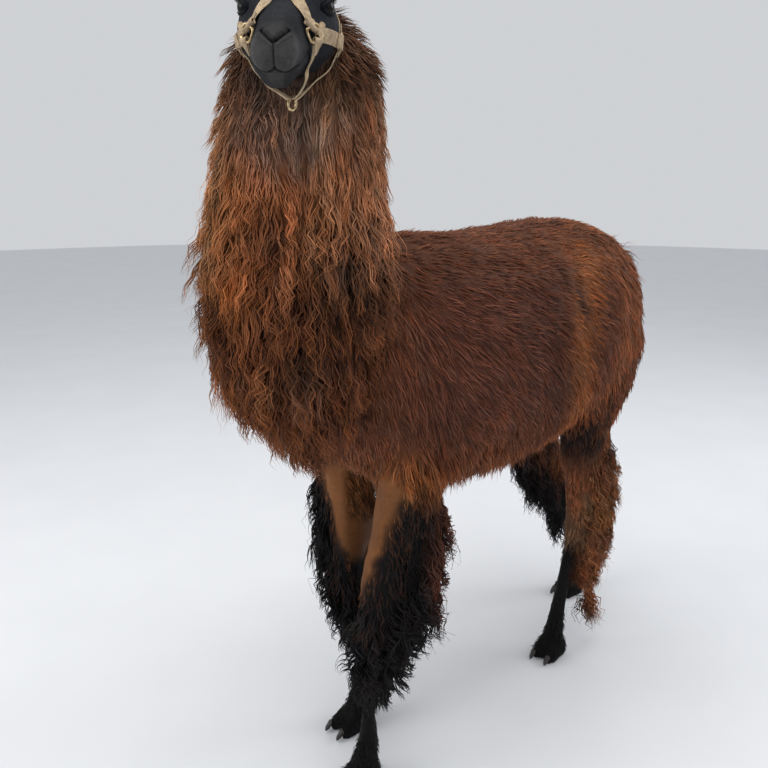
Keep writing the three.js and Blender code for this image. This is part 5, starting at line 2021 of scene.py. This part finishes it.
class LLAMA_OT_coat(bpy.types.Operator):
    """The coat, as locks that follow its lie"""

    bl_idname = "llama.coat"
    bl_label = "Coat"

    def execute(self, context):
        skin = bpy.data.objects["skin"]
        ground = Ground(skin)
        wool = lock_material("wool", roughness=0.6, specular=0.16)
        short = lock_material("face_tufts", roughness=0.6, specular=0.1)
        tone = context.scene.llama_colours
        place = in_body(ground.middle)
        for number, (name, chosen, joints, about, slot) in enumerate(coat_pieces()):
            random = np.random.default_rng(100 + number)
            batch = ground.sow(chosen(ground.owner, place), random)
            batch["unwrap"] = unwrapped(batch["root"], about)
            batch["bleach"] = batch["share"] @ np.array([BLEACH.get(region, 0.0) for region in REGIONS])
            batch["bleach"] *= 1 - 0.7 * ease(1.24, 1.32, batch["root"][:, 2])
            piece = grow_locks(name, batch, joints, random, linear(tone.rust) * 1.25)
            piece.data.materials.append(short if slot == "face_hair" else wool)
            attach(piece, "root")
        for number, leg in enumerate(LEGS):
            random = np.random.default_rng(200 + number)
            side, end = leg.split("_")
            chosen = within("wool_" + end, (0, 9) if side == "left" else (-9, 0))
            batch = ground.sow(chosen(ground.owner, place), random)
            batch["unwrap"] = unwrapped(batch["root"], "leg")
            batch["bleach"] = wool_tips(in_body(batch["root"]), parts(batch["share"]))
            piece = grow_locks("coat_wool_" + leg, batch, 7, random, linear(tone.red_brown))
            piece.data.materials.append(wool)
            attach(piece, "root")
            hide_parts(leg + "_wool")
        return {"FINISHED"}


class LLAMA_OT_lashes(bpy.types.Operator):
    """Lashes along both upper lids"""

    bl_idname = "llama.lashes"
    bl_label = "Lashes"

    def execute(self, context):
        random = np.random.default_rng(300)
        head = np.array([region == "head" for region in REGIONS], float)
        material = lock_material("lash", roughness=0.5, specular=0.3)
        joints, number = 5, 64
        t = np.linspace(0, 1, joints + 1)
        for side, label in ((1, "left"), (-1, "right")):
            middle, out, forward, up = eye_frame(side)
            angle = np.radians(np.linspace(12, 168, number) + random.normal(0, 1.5, number))
            a = LID_OPENING[0] * 1.02 * np.cos(angle)
            b = LID_OPENING[1] * 1.12 * np.sin(angle)
            ball = np.sqrt(np.maximum((EYE_RADIUS / MM) ** 2 - a**2 - b**2, 0)) + 2.2
            root = middle + np.outer(a, forward) + np.outer(b, up) + np.outer(ball, out)
            way = out + np.outer(a / 34, forward) - 0.25 * up + random.normal(0, 0.08, (number, 3))
            way = unit(way)
            length = random.uniform(6.5, 10.5, number) * (0.6 + 0.4 * np.sin(angle))
            line = root[:, None] + way[:, None] * (length[:, None] * t)[..., None]
            line = line + up * (0.42 * length[:, None] * t**2)[..., None]
            root, line = moved(root * MM, HEAD_TO_ROW), moved(line.reshape(-1, 3) * MM, HEAD_TO_ROW)
            batch = {
                "root": root,
                "share": np.tile(head, (number, 1)),
                "width": np.full(number, 0.28 * MM),
                "length": length * MM,
                "facing": turned(np.tile(up, (number, 1)), HEAD_TO_ROW),
                "unwrap": random.uniform(0.1, 0.9, (number, 2)),
                "clump": np.full(number, 9 * MM),
            }
            leader = np.arange(number)
            line = line.reshape(number, -1, 3)
            piece = lock_mesh("lashes_" + label, batch, line, t, leader, random, 1.0, None)
            piece.data.materials.append(material)
            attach(piece, "root")
        return {"FINISHED"}


# ---------------------------------------------------------------- panel and run

SETTINGS = {"llama_skin": SkinSettings, "llama_colours": ColourSettings, "llama_halter": HalterSettings}
STEPS = (
    LLAMA_OT_skin,
    LLAMA_OT_eyes,
    LLAMA_OT_nails,
    LLAMA_OT_halter,
    LLAMA_OT_coat,
    LLAMA_OT_lashes,
    LLAMA_OT_studio,
)


class LLAMA_PT_tools(bpy.types.Panel):
    """The llama's pieces, in the order in which they are made"""

    bl_idname = "LLAMA_PT_tools"
    bl_label = "Llama"
    bl_space_type = "VIEW_3D"
    bl_region_type = "UI"
    bl_category = "Llama"

    def draw(self, context):
        for step in STEPS:
            self.layout.operator(step.bl_idname)
        for name, group in SETTINGS.items():
            for setting in group.__annotations__:
                self.layout.prop(getattr(context.scene, name), setting)


def register():
    for group in SETTINGS.values():
        bpy.utils.register_class(group)
    for name, group in SETTINGS.items():
        setattr(bpy.types.Scene, name, PointerProperty(type=group))
    for step in (*STEPS, LLAMA_PT_tools):
        bpy.utils.register_class(step)


def unregister():
    for step in (LLAMA_PT_tools, *reversed(STEPS)):
        bpy.utils.unregister_class(step)
    for name in SETTINGS:
        delattr(bpy.types.Scene, name)
    for group in reversed(tuple(SETTINGS.values())):
        bpy.utils.unregister_class(group)


def main():
    register()
    for step in STEPS:
        group, action = step.bl_idname.split(".")
        getattr(getattr(bpy.ops, group), action)()


if __name__ == "__main__":
    main()
